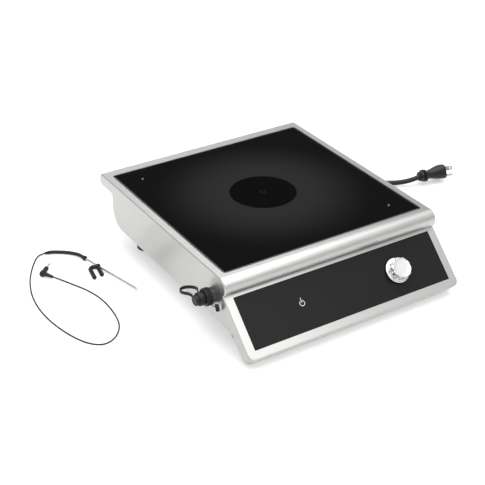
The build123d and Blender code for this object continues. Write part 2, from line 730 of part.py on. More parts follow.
def cord_tube(points, diameter, name):
    """Round cord along hand-picked points: straight runs joined by arcs of 0.45 of the shorter run."""
    vectors = [Vector(*p) for p in points]
    radii = []
    for a, b, c in zip(vectors, vectors[1:], vectors[2:]):
        turn = (b - a).get_angle(c - b)
        shorter = min((b - a).length, (c - b).length)
        radii.append(0.45 * shorter / tan(radians(turn) / 2))
    line = FilletPolyline(*vectors, radius=radii)
    path = Wire(line.edges())
    cord = sweep(Plane(origin=path @ 0, z_dir=path % 0) * Circle(diameter / 2), path)
    expected = pi * diameter ** 2 / 4 * path.length
    print(name, "length", round(path.length, 1), "volume ratio", round(cord.volume / expected, 4),
          "smallest radius", round(min(radii), 1), "radii", [round(r) for r in radii])
    return cord


GLAND_OUT = BACK_Y - 0.4 + 26.0         # end of the gland's sleeve

LEAD_OUT = [
    (GLAND_X, GLAND_OUT - 8, GLAND_Z),
    (GLAND_X, GLAND_OUT + 12, GLAND_Z - 2.5),
    (GLAND_X - 0.4, GLAND_OUT + 29, GLAND_Z - 11.4),
    (GLAND_X - 0.2, GLAND_OUT + 44, GLAND_Z - 27.4),
    (GLAND_X + 0.6, GLAND_OUT + 58, GLAND_Z - 44.4),
    (GLAND_X + 2, GLAND_OUT + 72, GLAND_Z - 54.4),
]
LEAD_ON = [
    (226.0, 238.0, CORD_Z),
    (228.5, 212.0, CORD_Z),
    (234.5, 184.0, CORD_Z),
    (244.0, 155.0, CORD_Z),
    (258.0, 125.0, CORD_Z),
    (277.0, 98.0, CORD_Z),
    (298.0, 77.5, CORD_Z + 0.4),
    (318.0, 62.0, CORD_Z + 2.8),
    (336.0, 51.5, CORD_Z + 7.6),
    (PLUG_X + 4, PLUG_Y - 0.4, PLUG_Z),
]


def cord_gland():
    """Moulded strain relief: flange outside, threaded barrel inside, ribbed flexible sleeve."""
    body = disc(8.0, -9, 0) + disc(11.4, 0, 3)
    sleeve = Pos(0, 0, 3) * Cone(7.6, 5.6, 23, align=(Align.CENTER, Align.CENTER, Align.MIN))
    body += sleeve
    for k in range(5):
        body -= tube(12, 5.4 - 0.2 * k, 6 + 4 * k, 7.4 + 4 * k)
    body -= disc(CORD_D / 2, -12, 30)
    place = Plane(origin=(GLAND_X, BACK_Y - 0.4, GLAND_Z), z_dir=(0, 1, 0)).location
    return place * body


def gland_nut():
    nut = extrude(RegularPolygon(11.5, 6), 4) - Pos(0, 0, 2) * Cylinder(8.0, 10)
    place = Plane(origin=(GLAND_X, BACK_Y - 0.4 - PAN_T - 4, GLAND_Z), z_dir=(0, 1, 0)).location
    return place * nut


def mains_cord():
    first = cord_tube(LEAD_OUT, CORD_D, "mains lead, gland to coil")
    second = cord_tube(LEAD_ON, CORD_D, "mains lead, coil to plug")
    return group([first, second])


def cord_coil():
    """Outer shape of the tied coil: a ring of stacked turns."""
    section = RectangleRounded(20.0, 26.0, 7.0)
    face = Plane.XZ * Pos(COIL_R, 13.0) * section
    ring = revolve(face, Axis.Z)
    return Pos(COIL_X, COIL_Y, FLOOR_Z) * ring


def plug_place(shape):
    """Local z runs from the cord into the plug's face; local x is the line of the blades."""
    side = Vector(0.0935, 0.8940, -0.4384)
    plane = Plane(origin=(PLUG_X, PLUG_Y, PLUG_Z), x_dir=side, z_dir=PLUG_AXIS)
    return plane.location * shape


def plug_body():
    """Moulded plug: ribbed neck, pull flange and a flared grip ending in a flat face."""
    neck = disc(6.6, 0, 8)
    rib = plate(18, 16, 1.2, 4.0, 6)
    flange = plate(25, 21, 8, 11.4, 6)
    lofted = loft([Pos(0, 0, 10) * RectangleRounded(17, 15, 6), Pos(0, 0, 22) * RectangleRounded(19, 17, 6),
                   Pos(0, 0, 45) * RectangleRounded(30, 24.6, 6)])
    face = plate(30, 24.6, 45, 47, 6)
    body = neck + rib + flange + lofted + face
    body -= disc(CORD_D / 2, -1, 4)
    return plug_place(body)


def plug_blades():
    blade = box(-0.75, 0.75, -3.2, 3.2, 40, 63.5)
    blade -= Pos(0, 0, 60) * Rot(0, 90, 0) * Cylinder(1.6, 6)
    return group([plug_place(Pos(dx, 3.0, 0) * blade) for dx in (-6.35, 6.35)])


def ground_pin():
    pin = disc(2.4, 40, 65) + Pos(0, 0, 65) * Sphere(2.4)
    return plug_place(Pos(0, -8.8, 0) * pin)


# ---------------------------------------------------------------- temperature probe
PROBE_Z = FLOOR_Z + 4.0     # axis of the needle, held up by the grip's ring and the clip
TIP = Vector(-210.0, 5.7, PROBE_Z)
JOINT = Vector(-238.2, 126.8, PROBE_Z)
NEEDLE_R = 1.4
GRIP_R = 2.7
GRIP_NOSE = 6.0             # tapered end of the grip, round the cable
RING_R = 3.9                # ring at the grip's needle end

HANDLE = [
    (-238.2, 126.8, PROBE_Z),
    (-241.4, 140.2, PROBE_Z - 0.2),
    (-248.0, 151.2, PROBE_Z - 0.5),
    (-257.2, 160.9, PROBE_Z - 0.8),
    (-268.0, 168.7, PROBE_Z - 1.0),
    (-277.6, 173.1, PROBE_Z - 1.1),
]
CABLE_Z = FLOOR_Z + PROBE_D / 2 + 0.1
CABLE = [
    (-277.6, 173.1, PROBE_Z - 1.1),
    (-289.8, 177.2, CABLE_Z + 1.0),
    (-303.0, 166.5, CABLE_Z),
    (-328.2, 127.0, CABLE_Z),
    (-344.4, 85.3, CABLE_Z),
    (-351.1, 45.6, CABLE_Z),
    (-350.5, 7.1, CABLE_Z),
    (-344.7, -27.9, CABLE_Z),
    (-334.9, -59.4, CABLE_Z),
    (-323.7, -78.1, CABLE_Z),
    (-308.4, -87.8, CABLE_Z),
    (-288.4, -79.3, CABLE_Z),
    (-273.0, -59.3, CABLE_Z),
    (-266.4, -35.7, CABLE_Z),
    (-263.7, -6.2, CABLE_Z),
    (-264.9, 22.1, CABLE_Z),
    (-271.9, 49.0, CABLE_Z),
    (-282.4, 72.2, CABLE_Z),
    (-293.2, 94.5, CABLE_Z + 0.6),
    (-300.6, 105.0, CABLE_Z + 2.2),
]


def probe_needle():
    direction = (TIP - JOINT).normalized()
    length = (TIP - JOINT).length
    rod = disc(NEEDLE_R, -12, length - 5) + Pos(0, 0, length - 5) * Cone(
        NEEDLE_R, 0.35, 5, align=(Align.CENTER, Align.CENTER, Align.MIN))
    return along(JOINT, direction, rod)


def probe_handle():
    """Moulded grip that bends with the cable, ringed at the needle end and tapered at the other."""
    direction = (JOINT - TIP).normalized()
    end = Vector(*HANDLE[-1])
    back = (Vector(*CABLE[0]) - Vector(*CABLE[1])).normalized()
    line = Spline(*HANDLE, tangents=(direction, back * -1))
    path = Wire(line.edges())
    grip = sweep(Plane(origin=path @ 0, z_dir=path % 0) * Circle(GRIP_R), path)
    ring = chamfer(disc(RING_R, -1.8, 1.8).edges(), 0.9)
    grip += along(JOINT, direction, ring)
    grip -= along(JOINT, direction, disc(NEEDLE_R, -6, 12))
    nose = Cone(1.6, GRIP_R, GRIP_NOSE, align=(Align.CENTER, Align.CENTER, Align.MIN))
    grip += along(end - back * GRIP_NOSE, back, nose)
    grip -= along(end - back * GRIP_NOSE, back, disc(PROBE_D / 2, -2, GRIP_NOSE))
    return grip


CLIP_AT = 31.6              # clip's eye from the joint, along the needle
CLIP_LEGS = Vector(-0.18, -0.984, 0.0)  # the way the legs point
CLIP_SIDES = Vector(-0.984, 0.18, 0.0)  # from the needle's leg to the other one
CLIP_R = 3.1                # thickness of the clip's arch and legs
CLIP_ARCH = 6.2             # arch radius, half the distance between the legs
CLIP_LEG = {-1: 18.0, 1: 22.0}          # straight part of each leg, the needle's side first
CLIP_KNOB_R = 3.4           # knob at a leg's end
CLIP_Z = FLOOR_Z + 3.5
CLIP_SIDE = 7.1             # arch centre to the side of the needle
CLIP_PEAK = 5.7             # arch centre beyond the eye


def probe_clip():
    """Pot-edge clip: an arch with two knobbed legs, and an eye that slides on the needle."""
    direction = (TIP - JOINT).normalized()
    centre = JOINT + direction * CLIP_AT
    middle = Vector(centre.X, centre.Y, CLIP_Z) + CLIP_SIDES * CLIP_SIDE + CLIP_LEGS * CLIP_PEAK
    frame = Plane(origin=middle, x_dir=CLIP_SIDES, z_dir=(0, 0, 1))     # its y runs along the legs
    reach = CLIP_ARCH + CLIP_R + 1
    body = Torus(CLIP_ARCH, CLIP_R) - Pos(0, reach, 0) * Box(2 * reach, 2 * reach, 2 * reach)
    for side, length in CLIP_LEG.items():
        leg = Rot(-90, 0, 0) * disc(CLIP_R, -0.01, length)
        body += Pos(side * CLIP_ARCH, 0, 0) * leg
        body += Pos(side * CLIP_ARCH, length, 0) * Sphere(CLIP_KNOB_R)
    body = frame.location * body
    body += Pos(*centre) * Sphere(3.7)
    body -= along(centre, direction, disc(NEEDLE_R + 0.06, -14, 14))
    return body


JACK = Vector(-307.6, 121.4, FLOOR_Z + 5.4)
JACK_TO = Vector(0.7, 0.714, 0.0).normalized()
JACK_NECK = 10.8            # barrel's end, where the pin comes out


def probe_jack():
    """Right-angle jack: a short barrel with a side boot that takes the cable."""
    barrel = disc(4.6, -8, 0)
    barrel = fillet(barrel.edges(), 1.6) + disc(3.6, -2, JACK_NECK)
    body = along(JACK, JACK_TO, barrel)
    end = Vector(*CABLE[-1])
    back = (JACK - JACK_TO * 4 - end).normalized()
    length = (JACK - JACK_TO * 4 - end).length
    boot = Cone(2.0, 3.6, length, align=(Align.CENTER, Align.CENTER, Align.MIN))
    body += along(end, back, boot)
    return body


def jack_pin():
    groove = JACK_NECK + 3.4
    end = JACK_NECK + 12.0
    pin = disc(1.25, JACK_NECK, groove) + disc(1.0, groove, groove + 0.6) + disc(1.25, groove + 0.6, end)
    pin += Pos(0, 0, end) * Cone(1.25, 0.5, 2.0, align=(Align.CENTER, Align.CENTER, Align.MIN))
    return along(JACK, JACK_TO, pin)


# ---------------------------------------------------------------- write the pieces
save(outer_shell(), "outer_shell")
save(glass_ledge(), "glass_ledge")
save(glass_seal(), "glass_seal")
save(glass_top(), "glass_top")
save(base_pan(), "base_pan")
save(base_screws(), "base_screws")
save(rating_plate(), "rating_plate")
save(group([foot(x, y) for x, y in foot_places()]), "feet")
save(foot_screws(), "foot_screws")
save(control_panel(), "control_panel")
save(panel_gasket(), "panel_gasket")
save(panel_backing(), "panel_backing")
save(control_knob(), "control_knob")
save(knob_hub(), "knob_hub")
save(encoder_shaft(), "encoder_shaft")
save(encoder_plunger(), "encoder_plunger")
save(encoder_body(), "encoder_body")
save(encoder_nut(), "encoder_nut")
save(control_board(), "control_board")
save(board_posts(), "board_posts")
save(display_module(), "display_module")
save(touch_spring(), "touch_spring")
save(coil_former(), "coil_former")
save(ferrite_bars(), "ferrite_bars")
save(coil_winding(), "coil_winding")
save(mica_sheet(), "mica_sheet")
save(coil_shield(), "coil_shield")
save(coil_posts(), "coil_posts")
save(centre_sensor(), "centre_sensor")
save(power_board(), "power_board")
save(board_standoffs(), "board_standoffs")
save(heatsink(), "heatsink")
save(power_transistors(), "power_transistors")
save(bridge_rectifier(), "bridge_rectifier")
save(film_capacitors(), "film_capacitors")
save(smoothing_choke(), "smoothing_choke")
save(relay(), "relay")
save(fan_housing(), "fan_housing")
save(fan_rotor(), "fan_rotor")
save(air_duct(), "air_duct")
save(signal_ribbon(), "signal_ribbon")
save(socket_flange(), "socket_flange")
save(socket_body(), "socket_body")
save(socket_nut(), "socket_nut")
save(dust_cap(), "dust_cap")
save(cap_strap(), "cap_strap")
save(cap_tether(), "cap_tether")
save(cord_gland(), "cord_gland")
save(gland_nut(), "gland_nut")
save(mains_cord(), "mains_cord")
save(cord_coil(), "cord_coil")
save(plug_body(), "plug_body")
save(plug_blades(), "plug_blades")
save(ground_pin(), "ground_pin")
save(probe_needle(), "probe_needle")
save(probe_handle(), "probe_handle")
save(probe_clip(), "probe_clip")
save(cord_tube(CABLE, PROBE_D, "probe cable"), "probe_cable")
save(probe_jack(), "probe_jack")
save(jack_pin(), "jack_pin")
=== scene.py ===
from math import cos, pi, radians, sin, sqrt, tau

import bmesh
import bpy
from mathutils import Matrix, Vector


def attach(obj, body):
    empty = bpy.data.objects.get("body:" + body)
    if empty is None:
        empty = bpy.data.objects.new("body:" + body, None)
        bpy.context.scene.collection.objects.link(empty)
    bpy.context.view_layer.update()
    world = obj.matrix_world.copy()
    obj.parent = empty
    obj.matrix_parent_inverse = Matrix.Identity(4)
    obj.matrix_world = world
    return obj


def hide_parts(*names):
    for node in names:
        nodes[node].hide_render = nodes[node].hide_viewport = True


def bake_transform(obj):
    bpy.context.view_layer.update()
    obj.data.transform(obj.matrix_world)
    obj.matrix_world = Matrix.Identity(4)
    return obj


# Countertop induction hob, dressed around its CAD frame. Metres, in the frame's own axes:
# origin at the centre of the glass's top face, +X right, +Y back, +Z up.

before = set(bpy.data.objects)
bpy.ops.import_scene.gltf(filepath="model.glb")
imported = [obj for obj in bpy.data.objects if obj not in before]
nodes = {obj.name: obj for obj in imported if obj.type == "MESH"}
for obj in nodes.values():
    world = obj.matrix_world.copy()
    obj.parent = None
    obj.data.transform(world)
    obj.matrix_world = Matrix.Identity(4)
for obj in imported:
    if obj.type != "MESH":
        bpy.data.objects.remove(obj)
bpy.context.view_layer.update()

MM = 0.001
FLOOR_Z = -0.108                        # worktop under the feet
HALF_W = 0.178                          # outer faces of the side plates
GLASS_W, GLASS_D = 0.331, 0.325

# the fascia: its plane starts at the panel's top edge and runs down towards the user
SLOPE = radians(43.64)
FASCIA_TOP = Vector((0.0, -0.1829, -0.0284))
DOWN = Vector((0.0, -cos(SLOPE), -sin(SLOPE)))
OUTWARD = Vector((0.0, -sin(SLOPE), cos(SLOPE)))
PANEL_FACE = -0.0003                    # the panel's face, below the fascia's
KNOB_AT = FASCIA_TOP + Vector((0.0877, 0, 0)) + DOWN * 0.0392
KEY_AT = FASCIA_TOP + Vector((-0.0722, 0, 0)) + DOWN * 0.0372 + OUTWARD * PANEL_FACE

SOCKET_AT = Vector((-HALF_W, -0.1519, -0.0359))
CORD_D = 0.0084
PROBE_CABLE_D = 0.0022


# ---------------------------------------------------------------- camera
LENS = 85.35
EYE_AT = (-0.8249, -1.2596, 0.8061)
EYE_DOWN = 30.697                       # degrees below level
EYE_TURN = -32.066


def camera():
    """The viewpoint: from the front left, looking down on the hob."""
    data = bpy.data.cameras.new("camera")
    data.lens = LENS
    eye = bpy.data.objects.new("camera", data)
    eye.location = EYE_AT
    eye.rotation_euler = (radians(90 - EYE_DOWN), 0, radians(EYE_TURN))
    bpy.context.collection.objects.link(eye)
    bpy.context.scene.camera = eye


# ---------------------------------------------------------------- cords
CORD_Z = FLOOR_Z + CORD_D / 2
LEAD_OUT = [
    (0.1220, 0.1639, -0.0326),
    (0.1220, 0.1800, -0.0345),
    (0.1216, 0.1965, -0.0408),
    (0.1216, 0.2110, -0.0530),
    (0.1222, 0.2225, -0.0660),
    (0.1238, 0.2350, -0.0780),
    (0.1272, 0.2490, -0.0855),
]
LEAD_ON = [
    (0.2396, 0.2230, CORD_Z),
    (0.2402, 0.2040, CORD_Z),
    (0.2420, 0.1820, CORD_Z),
    (0.2470, 0.1560, CORD_Z),
    (0.2590, 0.1260, CORD_Z),
    (0.2775, 0.0980, CORD_Z),
    (0.2980, 0.0775, CORD_Z + 0.0004),
    (0.3180, 0.0620, CORD_Z + 0.0028),
    (0.3360, 0.0515, CORD_Z + 0.0076),
    (0.3510, 0.0486, FLOOR_Z + 0.0158),
]
COIL_AT = Vector((0.176, 0.238, 0.0))
COIL_R = 0.050
# where each pass of the coil lies, as (radius beyond COIL_R, height above the floor), top pass first
COIL_PASSES = [(-0.0002, 0.0200), (-0.0052, 0.0131), (-0.0052, 0.0043), (0.0052, 0.0043),
               (0.0052, 0.0131)]
COIL_TURNS = 4.5
POINTS_PER_TURN = 24
FIRST_COIL_POINT = 2                    # the lead joins the coil a twelfth of a turn in
FIRST_STEP = 0.96                       # turns before the cord first changes its pass
STEP_EVERY = 0.84                       # turns from one change to the next
STEP_TAKES = 0.16
LEAVING = 0.2                           # turns over which the lead drops to the floor, outside the coil
LEAVE_OUT = CORD_D * 1.04

CABLE_Z = FLOOR_Z + PROBE_CABLE_D / 2 + 0.0001
PROBE_Z = FLOOR_Z + 0.0040
PROBE_CABLE = [
    (-0.2776, 0.1731, PROBE_Z - 0.0011),
    (-0.2898, 0.1772, CABLE_Z + 0.0010),
    (-0.3030, 0.1665, CABLE_Z),
    (-0.3282, 0.1270, CABLE_Z),
    (-0.3444, 0.0853, CABLE_Z),
    (-0.3511, 0.0456, CABLE_Z),
    (-0.3505, 0.0071, CABLE_Z),
    (-0.3447, -0.0279, CABLE_Z),
    (-0.3349, -0.0594, CABLE_Z),
    (-0.3237, -0.0781, CABLE_Z),
    (-0.3084, -0.0878, CABLE_Z),
    (-0.2884, -0.0793, CABLE_Z),
    (-0.2730, -0.0593, CABLE_Z),
    (-0.2664, -0.0357, CABLE_Z),
    (-0.2637, -0.0062, CABLE_Z),
    (-0.2649, 0.0221, CABLE_Z),
    (-0.2719, 0.0490, CABLE_Z),
    (-0.2824, 0.0722, CABLE_Z),
    (-0.2932, 0.0945, CABLE_Z + 0.0006),
    (-0.3006, 0.1050, CABLE_Z + 0.0022),
]


def smooth(t):
    """Ease from 0 to 1."""
    t = min(max(t, 0.0), 1.0)
    return t * t * (3 - 2 * t)


def coil_points():
    """Turns of the tied coil, clockwise from its left side. Later passes step aside first."""
    points = []
    for k in range(FIRST_COIL_POINT, int(COIL_TURNS * POINTS_PER_TURN) + 1):
        turned = k / POINTS_PER_TURN
        level = sum(smooth((turned - (FIRST_STEP + STEP_EVERY * n)) / STEP_TAKES)
                    for n in range(len(COIL_PASSES) - 1))
        low = min(int(level), len(COIL_PASSES) - 2)
        here, after = COIL_PASSES[low], COIL_PASSES[low + 1]
        part = level - low
        radius = COIL_R + here[0] + (after[0] - here[0]) * part
        height = here[1] + (after[1] - here[1]) * part
        leave = smooth((turned - COIL_TURNS + LEAVING) / LEAVING)
        height += (CORD_D / 2 - height) * leave
        radius += LEAVE_OUT * leave
        angle = pi - 2 * pi * turned
        points.append((COIL_AT.x + radius * cos(angle), COIL_AT.y + radius * sin(angle), FLOOR_Z + height))
    return points


def nurbs_line(name, points, dimensions, resolution):
    """One smooth open line guided by its control points."""
    curve = bpy.data.curves.new(name, "CURVE")
    curve.dimensions = dimensions
    spline = curve.splines.new("NURBS")
    spline.points.add(len(points) - 1)
    for held, place in zip(spline.points, points):
        held.co = (*place, 1)
    spline.order_u = 3
    spline.use_endpoint_u = True
    spline.resolution_u = resolution
    return curve


def linked(name, data):
    """A new object in the scene's collection."""
    thing = bpy.data.objects.new(name, data)
    bpy.context.collection.objects.link(thing)
    return thing


def nurbs_cord(name, points, diameter):
    """One smooth round cord along its control points."""
    curve = nurbs_line(name, points, "3D", 8)
    curve.bevel_depth = diameter / 2
    curve.bevel_resolution = 5
    curve.use_fill_caps = True
    return linked(name, curve)


camera()
mains_lead = nurbs_cord("mains_lead", LEAD_OUT + coil_points() + LEAD_ON, CORD_D)
probe_lead = nurbs_cord("probe_lead", PROBE_CABLE, PROBE_CABLE_D)


# ---------------------------------------------------------------- nodes and colours
def srgb(code):
    """Linear colour of an sRGB hex value."""
    channels = [int(code[i:i + 2], 16) / 255 for i in (0, 2, 4)]
    return [c / 12.92 if c < 0.04045 else ((c + 0.055) / 1.055) ** 2.4 for c in channels] + [1]


def add(tree, kind, inputs=None, **settings):
    """Add a node. Settings are its properties; inputs are values or output sockets, by name or number."""
    node = tree.nodes.new(kind)
    for key, value in settings.items():
        setattr(node, key, value)
    for key, value in (inputs or {}).items():
        if isinstance(value, bpy.types.NodeSocket):
            tree.links.new(value, node.inputs[key])
        else:
            node.inputs[key].default_value = value
    return node


def plain(name, colour, **shader):
    """A material with its Principled shader's own numbers set; patterns are added by its caller."""
    material = bpy.data.materials.new(name)
    material.use_nodes = True
    tree = material.node_tree
    principled = tree.nodes["Principled BSDF"]
    principled.inputs["Base Color"].default_value = srgb(colour)
    for key, value in shader.items():
        principled.inputs[key.replace("_", " ")].default_value = value
    place = add(tree, "ShaderNodeTexCoord").outputs["Object"]
    return material, tree, principled, place


def texture(name, colour, grain, depth, rough, tint, **shader):
    """A moulded or cast finish: grain of a real size that dents the surface and varies gloss and colour."""
    material, tree, principled, place = plain(name, colour, **shader)
    fine = add(tree, "ShaderNodeTexNoise", {"Vector": place, "Scale": 1 / grain, "Detail": 3.0})
    broad = add(tree, "ShaderNodeTexNoise", {"Vector": place, "Scale": 1 / (grain * 30), "Detail": 2.0})
    bump = add(tree, "ShaderNodeBump", {"Height": fine.outputs["Fac"], "Distance": depth, "Strength": 1.0})
    tree.links.new(bump.outputs["Normal"], principled.inputs["Normal"])
    gloss = add(tree, "ShaderNodeMapRange", {"Value": broad.outputs["Fac"], "From Min": 0.3, "From Max": 0.7,
                                             "To Min": rough[0], "To Max": rough[1]})
    tree.links.new(gloss.outputs["Result"], principled.inputs["Roughness"])
    shade = add(tree, "ShaderNodeMix", {"Factor": broad.outputs["Fac"], "A": srgb(colour), "B": srgb(tint)},
                data_type="RGBA")
    tree.links.new(shade.outputs["Result"], principled.inputs["Base Color"])
    return material


# ---------------------------------------------------------------- metals
def brushed_metal(name, colour, dull, rough, streak, depth):
    """Linished sheet: hair-fine streaks along X, or along Y on faces that look sideways."""
    material, tree, principled, place = plain(name, colour, Metallic=1.0, Anisotropic=0.75)
    facing = add(tree, "ShaderNodeNewGeometry")
    axes = add(tree, "ShaderNodeSeparateXYZ", {"Vector": facing.outputs["Normal"]})
    sideways = add(tree, "ShaderNodeMath", {0: axes.outputs["X"]}, operation="ABSOLUTE")
    sideways = add(tree, "ShaderNodeMath", {0: sideways.outputs[0], 1: 0.7}, operation="GREATER_THAN")
    length = 1 / (streak * 60)
    across = 1 / streak
    along_x = add(tree, "ShaderNodeMapping", {"Vector": place, "Scale": (length, across, across)})
    along_y = add(tree, "ShaderNodeMapping", {"Vector": place, "Scale": (across, length, across)})
    where = add(tree, "ShaderNodeMix", {"Factor": sideways.outputs[0], "A": along_x.outputs[0],
                                        "B": along_y.outputs[0]}, data_type="VECTOR")
    hairs = add(tree, "ShaderNodeTexNoise", {"Vector": where.outputs["Result"], "Scale": 1.0, "Detail": 4.0,
                                             "Roughness": 0.7})
    cloud = add(tree, "ShaderNodeTexNoise", {"Vector": place, "Scale": 14.0, "Detail": 3.0})
    mottle = add(tree, "ShaderNodeMath", {0: hairs.outputs["Fac"], 1: 0.75, 2: 0.06},
                 operation="MULTIPLY_ADD")
    mottle = add(tree, "ShaderNodeMath", {0: cloud.outputs["Fac"], 1: 0.2, 2: mottle.outputs[0]},
                 operation="MULTIPLY_ADD")
    shade = add(tree, "ShaderNodeMix", {"Factor": mottle.outputs[0], "A": srgb(dull), "B": srgb(colour)},
                data_type="RGBA")
    gloss = add(tree, "ShaderNodeMapRange", {"Value": hairs.outputs["Fac"], "From Min": 0.25,
                                             "From Max": 0.75, "To Min": rough[0], "To Max": rough[1]})
    bump = add(tree, "ShaderNodeBump", {"Height": hairs.outputs["Fac"], "Distance": depth, "Strength": 1.0})
    spread = add(tree, "ShaderNodeMix", {"Factor": sideways.outputs[0], "A": (0, 1, 0), "B": (0, 0, 1)},
                 data_type="VECTOR")
    tree.links.new(spread.outputs["Result"], principled.inputs["Tangent"])
    tree.links.new(shade.outputs["Result"], principled.inputs["Base Color"])
    tree.links.new(gloss.outputs["Result"], principled.inputs["Roughness"])
    tree.links.new(bump.outputs["Normal"], principled.inputs["Normal"])
    return material


def litz_copper():
    """Enamelled copper winding: concentric turns, each a rope of fine strands, with a painted glint on each
    strand's crest and painted shade between strands.
    """
    material, tree, principled, place = plain("litz_copper", "B56A3A", Metallic=0.9, Roughness=0.4)
    axes = add(tree, "ShaderNodeSeparateXYZ", {"Vector": place})
    angle = add(tree, "ShaderNodeMath", {0: axes.outputs["Y"], 1: axes.outputs["X"]}, operation="ARCTAN2")
    radius = add(tree, "ShaderNodeVectorMath", {0: place}, operation="LENGTH")
    twist = add(tree, "ShaderNodeMath", {0: radius.outputs["Value"], 1: 1600.0}, operation="MULTIPLY")
    twist = add(tree, "ShaderNodeMath", {0: angle.outputs[0], 1: 90.0, 2: twist.outputs[0]},
                operation="MULTIPLY_ADD")
    strand = add(tree, "ShaderNodeMath", {0: twist.outputs[0]}, operation="SINE")
    bump = add(tree, "ShaderNodeBump", {"Height": strand.outputs[0], "Distance": 0.3 * MM, "Strength": 1.0})
    # the colour follows the strands' relief: painted glint on the crests, painted shade in the grooves
    shade = add(tree, "ShaderNodeMapRange", {"Value": strand.outputs[0], "From Min": -1.0, "From Max": 1.0})
    colour = add(tree, "ShaderNodeMix", {"Factor": shade.outputs["Result"], "A": srgb("6E3416"),
                                         "B": srgb("C87A45")}, data_type="RGBA")
    tree.links.new(colour.outputs["Result"], principled.inputs["Base Color"])
    tree.links.new(bump.outputs["Normal"], principled.inputs["Normal"])
    return material


# ---------------------------------------------------------------- glass and fascia
def glass_ceramic():
    """Black glass-ceramic with a fine dot print that stops at the zone's disc; the print thins out to the
    edges, a painted soft sheen at the middle.
    """
    material, tree, principled, place = plain("black_glass_ceramic", "0B0B0C", Roughness=0.07, IOR=1.52)
    principled.inputs["Specular IOR Level"].default_value = 0.03
    radius = add(tree, "ShaderNodeVectorMath", {0: place}, operation="LENGTH").outputs["Value"]
    on_disc = add(tree, "ShaderNodeMapRange", {"Value": radius, "From Min": 0.0498, "From Max": 0.0502})
    # the print is densest at the middle and thins out to the edges: a painted soft sheen laid over the real
    # dot print
    painted_sheen_fade = add(tree, "ShaderNodeMapRange", {"Value": radius, "From Min": 0.06, "From Max": 0.17,
                                            "To Min": 1.0, "To Max": 0.12},
               interpolation_type="SMOOTHSTEP")
    dots = add(tree, "ShaderNodeTexVoronoi", {"Vector": place, "Scale": 1 / (0.9 * MM), "Randomness": 0.0})
    dot = add(tree, "ShaderNodeMapRange", {"Value": dots.outputs["Distance"], "From Min": 0.25,
                                           "From Max": 0.5, "To Min": 1.0, "To Max": 0.75})
    cover = add(tree, "ShaderNodeMath", {0: on_disc.outputs["Result"], 1: painted_sheen_fade.outputs["Result"]},
                operation="MULTIPLY")
    cover = add(tree, "ShaderNodeMath", {0: cover.outputs[0], 1: dot.outputs["Result"]}, operation="MULTIPLY")
    ring = add(tree, "ShaderNodeMath", {0: radius, 1: 0.0042}, operation="SUBTRACT")
    ring = add(tree, "ShaderNodeMath", {0: ring.outputs[0]}, operation="ABSOLUTE")
    ring = add(tree, "ShaderNodeMath", {0: ring.outputs[0], 1: 0.0004}, operation="LESS_THAN")
    cover = add(tree, "ShaderNodeMath", {0: ring.outputs[0], 1: cover.outputs[0]}, operation="MAXIMUM")
    colour = add(tree, "ShaderNodeMix", {"Factor": cover.outputs[0], "A": srgb("070708"),
                                         "B": srgb("242425")}, data_type="RGBA")
    # the ground bevel round the edge is paler and duller than the face
    across = add(tree, "ShaderNodeVectorMath", {0: place}, operation="ABSOLUTE")
    inset = add(tree, "ShaderNodeVectorMath", {0: across.outputs[0], 1: (GLASS_W / 2, GLASS_D / 2, 1)},
                operation="SUBTRACT")
    sides = add(tree, "ShaderNodeSeparateXYZ", {"Vector": inset.outputs[0]})
    nearest = add(tree, "ShaderNodeMath", {0: sides.outputs["X"], 1: sides.outputs["Y"]}, operation="MAXIMUM")
    bevel = add(tree, "ShaderNodeMath", {0: nearest.outputs[0], 1: -0.0011}, operation="GREATER_THAN")
    edged = add(tree, "ShaderNodeMix", {"Factor": bevel.outputs[0], "A": colour.outputs["Result"],
                                        "B": srgb("5C5C5D")}, data_type="RGBA")
    tree.links.new(edged.outputs["Result"], principled.inputs["Base Color"])
    return material


def panel_film():
    """Satin black overlay of the fascia: fine even sparkle from its screen-printed back."""
    material, tree, principled, place = plain("satin_black_overlay", "1B1B1C", IOR=1.5)
    principled.inputs["Specular IOR Level"].default_value = 0.1
    speck = add(tree, "ShaderNodeTexNoise", {"Vector": place, "Scale": 1 / (0.25 * MM), "Detail": 2.0})
    broad = add(tree, "ShaderNodeTexNoise", {"Vector": place, "Scale": 18.0, "Detail": 2.0})
    gloss = add(tree, "ShaderNodeMapRange", {"Value": broad.outputs["Fac"], "To Min": 0.2, "To Max": 0.34})
    bump = add(tree, "ShaderNodeBump", {"Height": speck.outputs["Fac"], "Distance": 0.004 * MM,
                                        "Strength": 1.0})
    shade = add(tree, "ShaderNodeMix", {"Factor": speck.outputs["Fac"], "A": srgb("161617"),
                                        "B": srgb("1E1E1F")}, data_type="RGBA")
    tree.links.new(gloss.outputs["Result"], principled.inputs["Roughness"])
    tree.links.new(bump.outputs["Normal"], principled.inputs["Normal"])
    tree.links.new(shade.outputs["Result"], principled.inputs["Base Color"])
    return material


